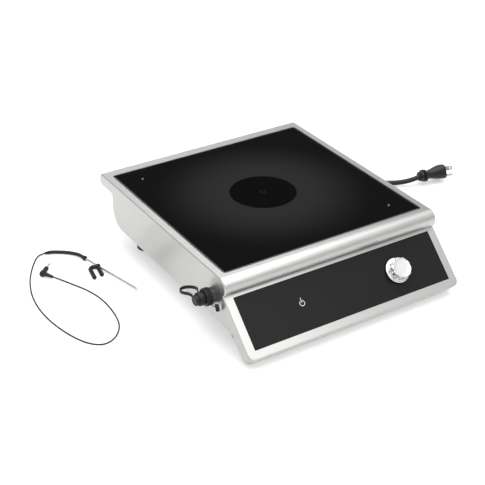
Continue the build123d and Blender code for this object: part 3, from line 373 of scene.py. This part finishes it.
# ---------------------------------------------------------------- boards
def solder_mask():
    """Green solder mask over copper tracks: raised darker lanes between a grid of bright pads."""
    material, tree, principled, place = plain("green_solder_mask", "1E5B34", Roughness=0.35, IOR=1.5)
    lanes = add(tree, "ShaderNodeTexBrick", {"Vector": place, "Color1": (1, 1, 1, 1),
                                             "Color2": (0.4, 0.4, 0.4, 1), "Mortar": (0, 0, 0, 1),
                                             "Scale": 60.0, "Mortar Size": 0.03, "Brick Width": 1.7,
                                             "Row Height": 0.35})
    pads = add(tree, "ShaderNodeTexVoronoi", {"Vector": place, "Scale": 1 / (5 * MM), "Randomness": 0.0})
    pad = add(tree, "ShaderNodeMath", {0: pads.outputs["Distance"], 1: 0.16}, operation="LESS_THAN")
    green = add(tree, "ShaderNodeMix", {"Factor": lanes.outputs["Color"], "A": srgb("123E22"),
                                        "B": srgb("256B3E")}, data_type="RGBA")
    colour = add(tree, "ShaderNodeMix", {"Factor": pad.outputs[0], "A": green.outputs["Result"],
                                         "B": srgb("B9BAB4")}, data_type="RGBA")
    bump = add(tree, "ShaderNodeBump", {"Height": lanes.outputs["Color"], "Distance": 0.03 * MM,
                                        "Strength": 1.0})
    tree.links.new(colour.outputs["Result"], principled.inputs["Base Color"])
    tree.links.new(pad.outputs[0], principled.inputs["Metallic"])
    tree.links.new(bump.outputs["Normal"], principled.inputs["Normal"])
    return material


def striped(name, light, dark, pitch, rough, **shader):
    """Fine parallel ridges across X, as on ribbon cable or an extrusion's die lines."""
    material, tree, principled, place = plain(name, light, Roughness=rough, **shader)
    wave = add(tree, "ShaderNodeTexWave", {"Vector": place, "Scale": 1 / (pitch * tau), "Distortion": 0.0},
               wave_type="BANDS", bands_direction="X")
    # the colour darkens in each groove between the ridges: painted shade
    colour = add(tree, "ShaderNodeMix", {"Factor": wave.outputs["Fac"], "A": srgb(dark), "B": srgb(light)},
                 data_type="RGBA")
    bump = add(tree, "ShaderNodeBump", {"Height": wave.outputs["Fac"], "Distance": pitch * 0.2,
                                        "Strength": 1.0})
    tree.links.new(colour.outputs["Result"], principled.inputs["Base Color"])
    tree.links.new(bump.outputs["Normal"], principled.inputs["Normal"])
    return material


# linished sheet: streaks one way, so lights stretch into soft bands across them
STEEL = brushed_metal("linished_stainless", "C9C9C7", "A6A6A4", (0.26, 0.42), 0.45 * MM, 0.005 * MM)
# rolled sheet left as it came: the same metal, duller and without a polisher's bands
PAN_STEEL = brushed_metal("mill_finish_stainless", "B4B4B2", "949492", (0.34, 0.48), 0.8 * MM, 0.01 * MM)
# cold grey plating with a faint crystal bloom
ZINC = texture("zinc_plated_steel", "B8BAB9", 0.5 * MM, 0.01 * MM, (0.28, 0.42), "9FA3A4", Metallic=1.0)
# warm bright plating of blades and pins
NICKEL = texture("nickel_plate", "C9C5BC", 0.3 * MM, 0.004 * MM, (0.16, 0.26), "B4B0A8", Metallic=1.0)
# bright chrome: crisp reflections, darker than white
CHROME = texture("bright_chrome", "DADADB", 0.4 * MM, 0.002 * MM, (0.08, 0.14), "CFCFD1", Metallic=1.0)
# satin chrome: turned face that spreads the light evenly
SATIN_CHROME = texture("satin_chrome", "D2D2D3", 0.3 * MM, 0.004 * MM, (0.38, 0.46), "C6C6C8", Metallic=1.0)
# drawn bar: long clean highlight
NEEDLE_STEEL = texture("drawn_stainless", "C2C2C0", 0.3 * MM, 0.004 * MM, (0.22, 0.32), "A6A6A4",
                       Metallic=1.0)
GLASS = glass_ceramic()
OVERLAY = panel_film()
# soft matt black that drinks light
SILICONE = texture("black_silicone", "0A0A0B", 0.5 * MM, 0.02 * MM, (0.55, 0.7), "101011", IOR=1.41,
                   Specular_IOR_Level=0.25)
# fine-grained rubber with a low grey sheen on its edges
RUBBER = texture("moulded_rubber", "0D0D0E", 0.6 * MM, 0.03 * MM, (0.42, 0.6), "131314", IOR=1.52,
                 Specular_IOR_Level=0.3)
# spark-eroded texture: small sparkle over black
NYLON = texture("black_nylon", "0D0D0E", 0.4 * MM, 0.02 * MM, (0.36, 0.5), "131314", IOR=1.53,
                Specular_IOR_Level=0.35)
ABS = texture("black_abs", "111112", 0.5 * MM, 0.025 * MM, (0.34, 0.48), "18181A", IOR=1.54)
# grey moulding: the flange reads lighter than the collar on it
GREY_NYLON = texture("grey_nylon", "3C3C3E", 0.4 * MM, 0.02 * MM, (0.4, 0.55), "464648", IOR=1.53)
# smooth sheath with a slight roll and a tight highlight
PVC = texture("black_pvc", "0B0B0C", 0.8 * MM, 0.02 * MM, (0.32, 0.44), "101011", IOR=1.53,
              Specular_IOR_Level=0.3)
# woven loop tape, drawn coarser than life so that its pile shows
HOOK_TAPE = texture("loop_tape", "151516", 0.9 * MM, 0.25 * MM, (0.8, 0.95), "232324", IOR=1.5)
# screen-printed inks: flat and even over the film
INK = texture("pale_screen_ink", "D4D4D4", 0.5 * MM, 0.002 * MM, (0.5, 0.6), "CACACA", IOR=1.5)
FADED_INK = texture("fired_grey_ink", "6A6A6B", 0.5 * MM, 0.002 * MM, (0.4, 0.5), "5E5E5F", IOR=1.5)
# matt grey-black pressed ceramic
FERRITE = texture("sintered_ferrite", "2B2B2D", 0.3 * MM, 0.03 * MM, (0.6, 0.75), "38383A", IOR=2.3)
ALUMINIUM = brushed_metal("mill_aluminium", "C6C8CA", "A9ABAD", (0.3, 0.42), 0.7 * MM, 0.01 * MM)
LITZ = litz_copper()
MASK = solder_mask()
# moulded component cases, each in its trade colour
EPOXY = texture("black_epoxy", "1A1A1B", 0.2 * MM, 0.02 * MM, (0.5, 0.62), "242425", IOR=1.55)
POLYESTER = texture("yellow_film_case", "C9A227", 0.8 * MM, 0.02 * MM, (0.3, 0.4), "BC951C", IOR=1.55)
RELAY_CASE = texture("blue_relay_case", "2E4A78", 0.6 * MM, 0.02 * MM, (0.35, 0.45), "27406A", IOR=1.55)
# varnished winding: ropy copper brown
ENAMEL_WIRE = texture("enamelled_wire", "A85A2A", 1.2 * MM, 0.25 * MM, (0.3, 0.4), "8A4620", Metallic=0.8)
# pressed flakes under a dull varnish
MICA = texture("pressed_mica", "B9AF8C", 2.5 * MM, 0.05 * MM, (0.4, 0.55), "A3986F", IOR=1.58)
DISPLAY = texture("smoked_display", "120607", 0.5 * MM, 0.004 * MM, (0.12, 0.2), "1A0A0B", IOR=1.49)
RIBBON = striped("grey_ribbon_cable", "9A9B9D", "6F7072", 1.27 * MM, 0.5)
FOIL = texture("blank_foil_plate", "B9BBBC", 0.4 * MM, 0.006 * MM, (0.3, 0.4), "A9ABAC", Metallic=1.0)

FINISHES = {
    STEEL: ["outer_shell", "glass_ledge"],
    PAN_STEEL: ["base_pan", "panel_backing"],
    ZINC: ["base_screws", "foot_screws", "encoder_shaft", "encoder_plunger", "encoder_nut", "encoder_body",
           "board_posts", "board_standoffs", "coil_posts", "gland_nut", "socket_nut"],
    GLASS: ["glass_top"],
    OVERLAY: ["control_panel"],
    SILICONE: ["glass_seal", "panel_gasket"],
    RUBBER: ["feet", "dust_cap", "cap_strap", "cap_tether", "probe_handle", "probe_clip", "probe_jack"],
    GREY_NYLON: ["socket_flange"],
    NYLON: ["socket_body", "coil_former", "centre_sensor", "cord_gland", "knob_hub"],
    ABS: ["fan_housing", "fan_rotor", "air_duct"],
    PVC: ["mains_cord", "cord_coil", "plug_body", "probe_cable"],
    NICKEL: ["plug_blades", "ground_pin", "jack_pin", "touch_spring"],
    NEEDLE_STEEL: ["probe_needle"],
    FERRITE: ["ferrite_bars"],
    ALUMINIUM: ["coil_shield", "heatsink"],
    LITZ: ["coil_winding"],
    MASK: ["control_board", "power_board"],
    EPOXY: ["power_transistors", "bridge_rectifier"],
    POLYESTER: ["film_capacitors"],
    RELAY_CASE: ["relay"],
    ENAMEL_WIRE: ["smoothing_choke"],
    MICA: ["mica_sheet"],
    DISPLAY: ["display_module"],
    RIBBON: ["signal_ribbon"],
    FOIL: ["rating_plate"],
}


def dress_frame():
    """Give every CAD node the finish of its real part."""
    for finish, names in FINISHES.items():
        for name in names:
            slots = nodes[name].material_slots
            if not slots:
                nodes[name].data.materials.append(finish)
            for held in slots:
                held.material = finish


# ---------------------------------------------------------------- pieces
def mesh_piece(name, points, faces):
    """A new mesh object whose place is in its points."""
    mesh = bpy.data.meshes.new(name)
    mesh.from_pydata([tuple(point) for point in points], [], faces)
    return linked(name, mesh)


def finish_mesh(piece, materials, body, stands_for=(), sharp=35):
    """Give a piece its materials and smooth shading, and hang it on its body."""
    for material in materials:
        piece.data.materials.append(material)
    piece.data.shade_smooth()
    piece.data.set_sharp_from_angle(angle=radians(sharp))
    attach(piece, body)
    if stands_for:
        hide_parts(*stands_for)
    return piece


def skin(rings, closed_ends=True):
    """Faces over rings of equal length. Ends are closed by fans to a middle point."""
    count = len(rings[0])
    points = [point for ring in rings for point in ring]
    faces = []
    for row in range(len(rings) - 1):
        for k in range(count):
            after = (k + 1) % count
            low, high = row * count, (row + 1) * count
            faces.append((low + k, low + after, high + after, high + k))
    if closed_ends:
        for row, turn in ((0, True), (len(rings) - 1, False)):
            middle = sum((Vector(point) for point in rings[row]), Vector()) / count
            points.append(middle)
            for k in range(count):
                pair = (row * count + k, row * count + (k + 1) % count)
                pair = pair[::-1] if turn else pair
                faces.append((*pair, len(points) - 1))
    return points, faces


KNOB_R = 0.0154
KNOB_FLANGE_R = 0.0187
KNOB_BASE = 0.0015
FLUTES = 10
FLUTE_R = 0.0033                        # radius of one flute's round hollow
KNOB_STEPS = 24                         # points round each flute


def fluted(radius, bite, angle):
    """Radius of the knob's wall at an angle: round hollows cut bite deep into it."""
    pitch = tau / FLUTES
    off = (angle + pitch / 2) % pitch - pitch / 2
    centre = radius - bite + FLUTE_R
    under = FLUTE_R ** 2 - (centre * sin(off)) ** 2
    if under <= 0:
        return radius
    return min(radius, centre * cos(off) - sqrt(under))


def control_knob():
    """Chromed knob: base ring, waist with deep flutes, nicked bright edge and a satin face."""
    # radius, height above the base, depth of the flutes
    profile = [(0.0090, 0.0000, 0.0), (0.0176, 0.0000, 0.0), (0.0185, 0.0003, 0.0),
               (KNOB_FLANGE_R, 0.0010, 0.0), (KNOB_FLANGE_R, 0.0019, 0.0), (0.0184, 0.0026, 0.0),
               (0.0177, 0.0031, 0.0), (0.0168, 0.0033, 0.0),
               (0.0160, 0.0034, 0.0), (0.0150, 0.0036, 0.0024), (0.0149, 0.0040, 0.0026),
               (0.0150, 0.0080, 0.0024), (0.0151, 0.0118, 0.0021), (0.0152, 0.0124, 0.0014),
               (KNOB_R, 0.0130, 0.0011), (KNOB_R, 0.0138, 0.0010), (0.0152, 0.0145, 0.0009),
               (0.0148, 0.0149, 0.0007), (0.0143, 0.0151, 0.0005), (0.0138, 0.0152, 0.0),
               (0.0134, 0.0150, 0.0), (0.0128, 0.0149, 0.0), (0.0060, 0.0149, 0.0)]
    satin_from = 20                     # first row of the face
    per_row = FLUTES * KNOB_STEPS
    rings = []
    for radius, height, bite in profile:
        ring = []
        for k in range(per_row):
            angle = tau * k / per_row
            wall = fluted(radius, bite, angle) if bite else radius
            across = KNOB_AT + Vector((wall * cos(angle), 0, 0)) - DOWN * (wall * sin(angle))
            ring.append(across + OUTWARD * (KNOB_BASE + height))
        rings.append(ring)
    points, faces = skin(rings)
    knob = mesh_piece("fluted_knob", points, faces)
    finish_mesh(knob, [CHROME, SATIN_CHROME], "knob", ["control_knob"], sharp=50)
    # the polygons run row by row, then the fan under the base, then the fan that closes the face
    under = (len(profile) - 1) * per_row
    for face in knob.data.polygons[satin_from * per_row:]:
        face.material_index = 1
    for face in knob.data.polygons[under:under + per_row]:
        face.material_index = 0


PLUG_AT = Vector((0.347, 0.049, FLOOR_Z + 0.0158))
PLUG_ALONG = Vector((0.9946, -0.1040, 0.0)).normalized()
PLUG_BLADES = Vector((0.0935, 0.8940, -0.4384)).normalized()    # from one blade to the other
PLUG_UP = PLUG_ALONG.cross(PLUG_BLADES)
PLUG_STEPS = 56                         # points round each section


def plug_moulding():
    """Moulded plug: neck with a collar, pull flange, hollowed waist and a flared face."""
    # distance from the cord's entry, half width, half height, squareness
    stations = [(0.0, 4.4, 4.4, 2.0), (0.0, 5.6, 5.6, 2.0), (0.8, 6.3, 6.3, 2.0), (1.2, 6.6, 6.6, 2.0),
                (1.3, 8.4, 7.4, 2.6), (1.8, 9.0, 8.0, 2.6), (3.4, 9.0, 8.0, 2.6), (3.9, 8.5, 7.5, 2.6),
                (4.1, 6.9, 6.7, 2.2), (5.6, 7.0, 6.8, 2.2), (7.6, 7.6, 7.2, 2.4), (8.0, 11.2, 9.4, 2.8),
                (8.5, 12.2, 10.2, 3.0), (9.1, 12.5, 10.5, 3.0), (10.4, 12.5, 10.5, 3.0),
                (11.0, 12.1, 10.1, 3.0),
                (11.4, 11.2, 9.3, 2.8), (12.0, 9.4, 8.0, 2.5), (14.0, 8.4, 7.4, 2.4), (18.0, 8.2, 7.3, 2.4),
                (22.0, 8.8, 7.8, 2.5), (27.0, 10.2, 8.8, 2.7), (33.0, 12.4, 10.3, 2.9),
                (39.0, 14.0, 11.5, 3.1),
                (43.0, 14.8, 12.1, 3.3), (45.4, 15.0, 12.3, 3.5), (46.4, 14.8, 12.1, 3.5),
                (46.9, 14.2, 11.5, 3.5),
                (47.0, 13.2, 10.6, 3.5), (47.0, 8.0, 6.0, 3.0)]
    rings = []
    for reach, wide, tall, square in stations:
        ring = []
        for k in range(PLUG_STEPS):
            angle = tau * k / PLUG_STEPS
            x = abs(cos(angle)) ** (2 / square) * (1 if cos(angle) > 0 else -1) * wide * MM
            y = abs(sin(angle)) ** (2 / square) * (1 if sin(angle) > 0 else -1) * tall * MM
            ring.append(PLUG_AT + PLUG_ALONG * (reach * MM) + PLUG_BLADES * x + PLUG_UP * y)
        rings.append(ring)
    points, faces = skin(rings)
    plug = mesh_piece("plug_moulding", points, faces)
    return finish_mesh(plug, [PVC], "housing", ["plug_body"])


def power_mark():
    """Power symbol printed on the overlay: an open ring with a bar through its gap."""
    radius, half, gap = 0.0038, 0.00042, radians(27)
    bar_foot, bar_top = 0.0006, 0.0078
    lift = 0.00003                      # the ink's thickness
    up = -DOWN
    points, faces = [], []
    steps = 40
    for k in range(steps + 1):
        angle = pi / 2 + gap + (tau - 2 * gap) * k / steps
        for reach in (radius - half, radius + half):
            points.append(KEY_AT + Vector((reach * cos(angle), 0, 0)) + up * (reach * sin(angle))
                          + OUTWARD * lift)
        if k:
            faces.append((2 * k - 2, 2 * k - 1, 2 * k + 1, 2 * k))
    first = len(points)
    for side, height in ((-half, bar_foot), (half, bar_foot), (half, bar_top), (-half, bar_top)):
        points.append(KEY_AT + Vector((side, 0, 0)) + up * height + OUTWARD * lift)
    faces.append((first, first + 1, first + 2, first + 3))
    return finish_mesh(mesh_piece("power_mark", points, faces), [INK], "housing")


def glass_marks():
    """Two small printed corner marks on the glass, pointing to its corners."""
    points, faces = [], []
    leg = 0.0045
    lift = 0.00002                      # the fired ink's thickness
    for x, y, sx, sy in ((-0.1337, 0.1326, -1, 1), (0.1339, -0.1332, 1, -1)):
        first = len(points)
        corners = [(x, y), (x - sx * leg, y), (x, y - sy * leg)]
        for px, py in corners:
            points.append((px, py, lift))
        turn = (corners[1][0] - x) * (corners[2][1] - y) > 0
        faces.append((first, first + 1, first + 2) if turn else (first, first + 2, first + 1))
    return finish_mesh(mesh_piece("glass_marks", points, faces), [FADED_INK], "housing")


STRAP_AT = Vector((-0.2020, -0.1304, -0.0324))
# half lengths of the loop's control oval, which the band runs a little inside
STRAP_LONG = 0.0114 * 1.06
STRAP_SHORT = 0.0078 * 1.06
STRAP_TURN = radians(-32)
STRAP_FROM, STRAP_SWEEP = radians(-12), radians(277)
STRAP_STEPS = 12
STRAP_HALF_H = 0.0017                   # to which the rounded edges add STRAP_HALF_T
STRAP_HALF_T = 0.0008


def strap_band():
    """Flat rubber band looped from the socket's neck to the dust cap."""
    route = [Vector((-0.1949, -0.1440, 0)), Vector((-0.1944, -0.1415, 0))]
    for k in range(STRAP_STEPS + 1):
        angle = STRAP_FROM + STRAP_SWEEP * k / STRAP_STEPS
        x, y = STRAP_LONG * cos(angle), STRAP_SHORT * sin(angle)
        route.append(Vector((STRAP_AT.x + x * cos(STRAP_TURN) - y * sin(STRAP_TURN),
                             STRAP_AT.y + x * sin(STRAP_TURN) + y * cos(STRAP_TURN), 0)))
    route += [Vector((-0.2056, -0.1405, 0)), Vector((-0.2049, -0.1441, 0))]
    curve = nurbs_line("strap_line", route, "2D", 6)
    curve.fill_mode = "NONE"
    curve.extrude = STRAP_HALF_H
    curve.bevel_depth = STRAP_HALF_T
    curve.bevel_resolution = 2
    band = baked("strap_band", linked("strap_band_curve", curve))
    band.data.transform(Matrix.Translation((0, 0, STRAP_AT.z)))
    return band


def baked(name, holder):
    """A plain mesh piece from a curve or a node tree's object, which is then removed."""
    bpy.context.view_layer.update()
    mesh = bpy.data.meshes.new_from_object(holder.evaluated_get(bpy.context.evaluated_depsgraph_get()))
    bpy.data.objects.remove(holder)
    return linked(name, mesh)


def cap_strap():
    """The strap: a ring on the socket's neck, and a band that stretches from it to the cap."""
    band = strap_band()
    mend(band)
    band.data.materials.clear()
    band.data.materials.append(RUBBER)
    band.data.shade_smooth()
    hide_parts("cap_strap")
    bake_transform(band)
    profile = [(6.9, 14.6), (8.4, 14.6), (8.9, 14.9), (9.1, 15.5), (9.1, 17.0), (8.9, 17.6), (8.4, 17.9),
               (6.9, 17.9)]
    ring = revolved("strap_ring", profile, closed=True)
    finish_mesh(ring, [RUBBER], "housing", ["cap_strap"])


def mend(piece):
    """Merge doubles and turn every face outwards."""
    work = bmesh.new()
    work.from_mesh(piece.data)
    bmesh.ops.remove_doubles(work, verts=work.verts, dist=0.000001)
    bmesh.ops.recalc_face_normals(work, faces=work.faces)
    work.to_mesh(piece.data)
    work.free()


def revolved(name, profile, closed=False, steps=72):
    """A round piece on the socket's axis. The profile is (radius, distance from the wall), millimetres."""
    rings = []
    for radius, out in profile:
        rings.append([SOCKET_AT + Vector((-out * MM, radius * MM * cos(tau * k / steps),
                                          radius * MM * sin(tau * k / steps))) for k in range(steps)])
    if closed:
        rings.append(rings[0])
    points, faces = skin(rings, closed_ends=not closed)
    piece = mesh_piece(name, points, faces)
    mend(piece)
    return piece


def ribbed(name, count, radius, length, rib, place, finish, body):
    """Ribs along a round grip, made once by a node tree: a rib on each point of a circle."""
    tree = bpy.data.node_groups.new(name, "GeometryNodeTree")
    sizes = (("Count", "NodeSocketInt", count), ("Radius", "NodeSocketFloat", radius),
             ("Length", "NodeSocketFloat", length), ("Rib", "NodeSocketFloat", rib))
    tree.interface.new_socket("Geometry", in_out="OUTPUT", socket_type="NodeSocketGeometry")
    for label, kind, value in sizes:
        tree.interface.new_socket(label, in_out="INPUT", socket_type=kind)
    given = add(tree, "NodeGroupInput").outputs
    ring = add(tree, "GeometryNodeCurvePrimitiveCircle", {"Resolution": given["Count"],
                                                          "Radius": given["Radius"]}, mode="RADIUS")
    points = add(tree, "GeometryNodeCurveToPoints", {"Curve": ring.outputs["Curve"]}, mode="EVALUATED")
    bar = add(tree, "GeometryNodeMeshCylinder", {"Vertices": 8, "Radius": given["Rib"],
                                                 "Depth": given["Length"]})
    ribs = add(tree, "GeometryNodeInstanceOnPoints", {"Points": points.outputs["Points"],
                                                      "Instance": bar.outputs["Mesh"]})
    real = add(tree, "GeometryNodeRealizeInstances", {"Geometry": ribs.outputs["Instances"]})
    coat = add(tree, "GeometryNodeSetMaterial", {"Geometry": real.outputs["Geometry"]})
    coat.inputs["Material"].default_value = finish
    add(tree, "NodeGroupOutput", {"Geometry": coat.outputs["Geometry"]})
    holder = mesh_piece(name + "_seed", [], [])
    grow = holder.modifiers.new("ribs", "NODES")
    grow.node_group = tree
    for item in tree.interface.items_tree:
        for label, kind, value in sizes:
            if item.name == label:
                grow[item.identifier] = value
    piece = baked(name, holder)
    piece.data.transform(place)
    return finish_mesh(piece, [], body, sharp=60)


JACK_AT = Vector((-0.3076, 0.1214, FLOOR_Z + 0.0054))
JACK_TO = Vector((0.7, 0.714, 0.0)).normalized()


def ribs_of_grips():
    """Raised ribs on the socket's collar and on the jack's grip."""
    on_collar = Matrix.Translation(SOCKET_AT + Vector((-0.0099, 0, 0))) @ Matrix.Rotation(radians(90), 4, "Y")
    ribbed("collar_ribs", 44, 0.0122, 0.0070, 0.00042, on_collar, NYLON, "housing")
    along = JACK_TO.to_track_quat("Z", "Y").to_matrix().to_4x4()
    on_jack = Matrix.Translation(JACK_AT - JACK_TO * 0.0040) @ along
    return ribbed("jack_ribs", 18, 0.00455, 0.0038, 0.0003, on_jack, RUBBER, "probe")


TIE_PLACE = radians(66)                 # round the coil, short of where the lead leaves it
TIE_W = 0.016
TIE_T = 0.0009


def coil_tie():
    """Reusable strap round the tied turns of the mains lead."""
    outward = Vector((cos(TIE_PLACE), sin(TIE_PLACE), 0))
    side = Vector((-sin(TIE_PLACE), cos(TIE_PLACE), 0))
    # one lap of the strap in the coil's section: millimetres from the coil's middle line, and above the floor
    lap = [(-9.8, 1.2), (-10.1, 4.0), (-10.1, 13.0), (-8.6, 17.0), (-5.2, 21.4), (-2.8, 24.2), (0.0, 24.9),
           (2.8, 24.2), (5.2, 21.4), (8.6, 17.0), (10.1, 13.0), (10.1, 4.0), (9.8, 1.2), (7.4, 0.3),
           (0.0, 0.3), (-7.4, 0.3)]
    rings = []
    half = TIE_W / 2
    for k, (r, z) in enumerate(lap):
        before, after = lap[k - 1], lap[(k + 1) % len(lap)]
        run = Vector((after[0] - before[0], after[1] - before[1])).normalized()
        off = Vector((-run.y, run.x)) * TIE_T
        inner = COIL_AT + outward * (COIL_R + r * MM) + Vector((0, 0, FLOOR_Z + z * MM))
        outer = inner + outward * off.x + Vector((0, 0, off.y if z > 1 else 0.0))
        rings.append([inner - side * half, inner + side * half, outer + side * half, outer - side * half])
    rings.append(rings[0])
    points, faces = skin(rings, closed_ends=False)
    tie = mesh_piece("coil_tie", points, faces)
    mend(tie)
    return finish_mesh(tie, [HOOK_TAPE], "housing")


# ---------------------------------------------------------------- studio
# soft boxes: name, place, side and power in watts
SOFT_BOXES = [
    ("front_box", (0.25, -1.3, 1.7), 1.6, 8.0),
    ("left_box", (-2.2, 0.2, 1.2), 1.4, 6.0),
    ("back_box", (0.80, 1.05, 1.6), 0.9, 3.5),
]
FLAG_AT = 0.47                          # middle of the dark flag, as the Z of a unit vector towards it


def studio():
    """Pale room, dark flag and three soft boxes, with a sheet of white paper for a worktop."""
    world = bpy.data.worlds.new("studio")
    bpy.context.scene.world = world
    world.use_nodes = True
    tree = world.node_tree
    sky = add(tree, "ShaderNodeTexCoord").outputs["Generated"]
    toward = add(tree, "ShaderNodeSeparateXYZ", {"Vector": sky})
    # a bright box overhead, and a level glow all round that climbs steeply above the far edge
    climb = add(tree, "ShaderNodeMapRange", {"Value": toward.outputs["Z"], "From Min": 0.38, "From Max": 0.6,
                                             "To Min": 0.62, "To Max": 1.05}, interpolation_type="SMOOTHSTEP")
    above = add(tree, "ShaderNodeMapRange", {"Value": toward.outputs["Z"], "From Min": 0.76, "From Max": 0.9},
                interpolation_type="SMOOTHSTEP")
    glow = add(tree, "ShaderNodeMix", {"Factor": above.outputs["Result"], "A": climb.outputs["Result"],
                                       "B": 3.4})
    # a dark flag beyond the far edge keeps the polished glass black
    off_flag = add(tree, "ShaderNodeMath", {0: toward.outputs["Z"], 1: FLAG_AT}, operation="SUBTRACT")
    off_flag = add(tree, "ShaderNodeMath", {0: off_flag.outputs[0]}, operation="ABSOLUTE")
    band = add(tree, "ShaderNodeMapRange", {"Value": off_flag.outputs[0], "From Min": 0.09, "From Max": 0.115,
                                            "To Min": 1.0, "To Max": 0.0})
    behind = add(tree, "ShaderNodeMapRange", {"Value": toward.outputs["Y"], "From Min": 0.45,
                                              "From Max": 0.55})
    flag = add(tree, "ShaderNodeMath", {0: band.outputs["Result"], 1: behind.outputs["Result"]},
               operation="MULTIPLY")
    glow = add(tree, "ShaderNodeMix", {"Factor": flag.outputs[0], "A": glow.outputs["Result"], "B": 0.1})
    path = add(tree, "ShaderNodeLightPath")
    # the backdrop itself stays plain and pale
    seen = add(tree, "ShaderNodeMix", {"Factor": path.outputs["Is Camera Ray"], "A": glow.outputs["Result"],
                                       "B": 1.0})
    tree.links.new(seen.outputs["Result"], tree.nodes["Background"].inputs["Strength"])
    tree.nodes["Background"].inputs["Color"].default_value = (1, 1, 1, 1)
    for name, place, side, power in SOFT_BOXES:
        light = bpy.data.lights.new(name, "AREA")
        light.size = side
        light.energy = power
        lamp = linked(name, light)
        lamp.location = place
        aim = Vector((0, 0, -0.05)) - Vector(place)
        lamp.rotation_euler = aim.to_track_quat("-Z", "Y").to_euler()
    reach = 8
    corners = [(-reach, -reach, FLOOR_Z), (reach, -reach, FLOOR_Z), (reach, reach, FLOOR_Z),
               (-reach, reach, FLOOR_Z)]
    floor = mesh_piece("floor", corners, [(0, 1, 2, 3)])
    # uncoated paper: fully matt, and lit a little from within so that it stays white under the hob
    paint, tree, principled, place = plain("floor_paper", "C4C4C4", Roughness=0.9, Emission_Strength=0.45)
    principled.inputs["Specular IOR Level"].default_value = 0.0
    principled.inputs["Emission Color"].default_value = (1, 1, 1, 1)
    floor.data.materials.append(paint)
    bpy.context.scene.view_settings.view_transform = "Standard"


def declare_cords(plug, ribs):
    """Both cords: the mains lead with its plug, and the probe's lead with its jack."""
    for cord, body in ((mains_lead, "housing"), (probe_lead, "probe")):
        cord.data.materials.append(PVC)
        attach(cord, body)
    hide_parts("mains_cord", "cord_coil")
    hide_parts("probe_cable")


dress_frame()
control_knob()
power_mark()
glass_marks()
cap_strap()
coil_tie()
declare_cords(plug_moulding(), ribs_of_grips())
studio()
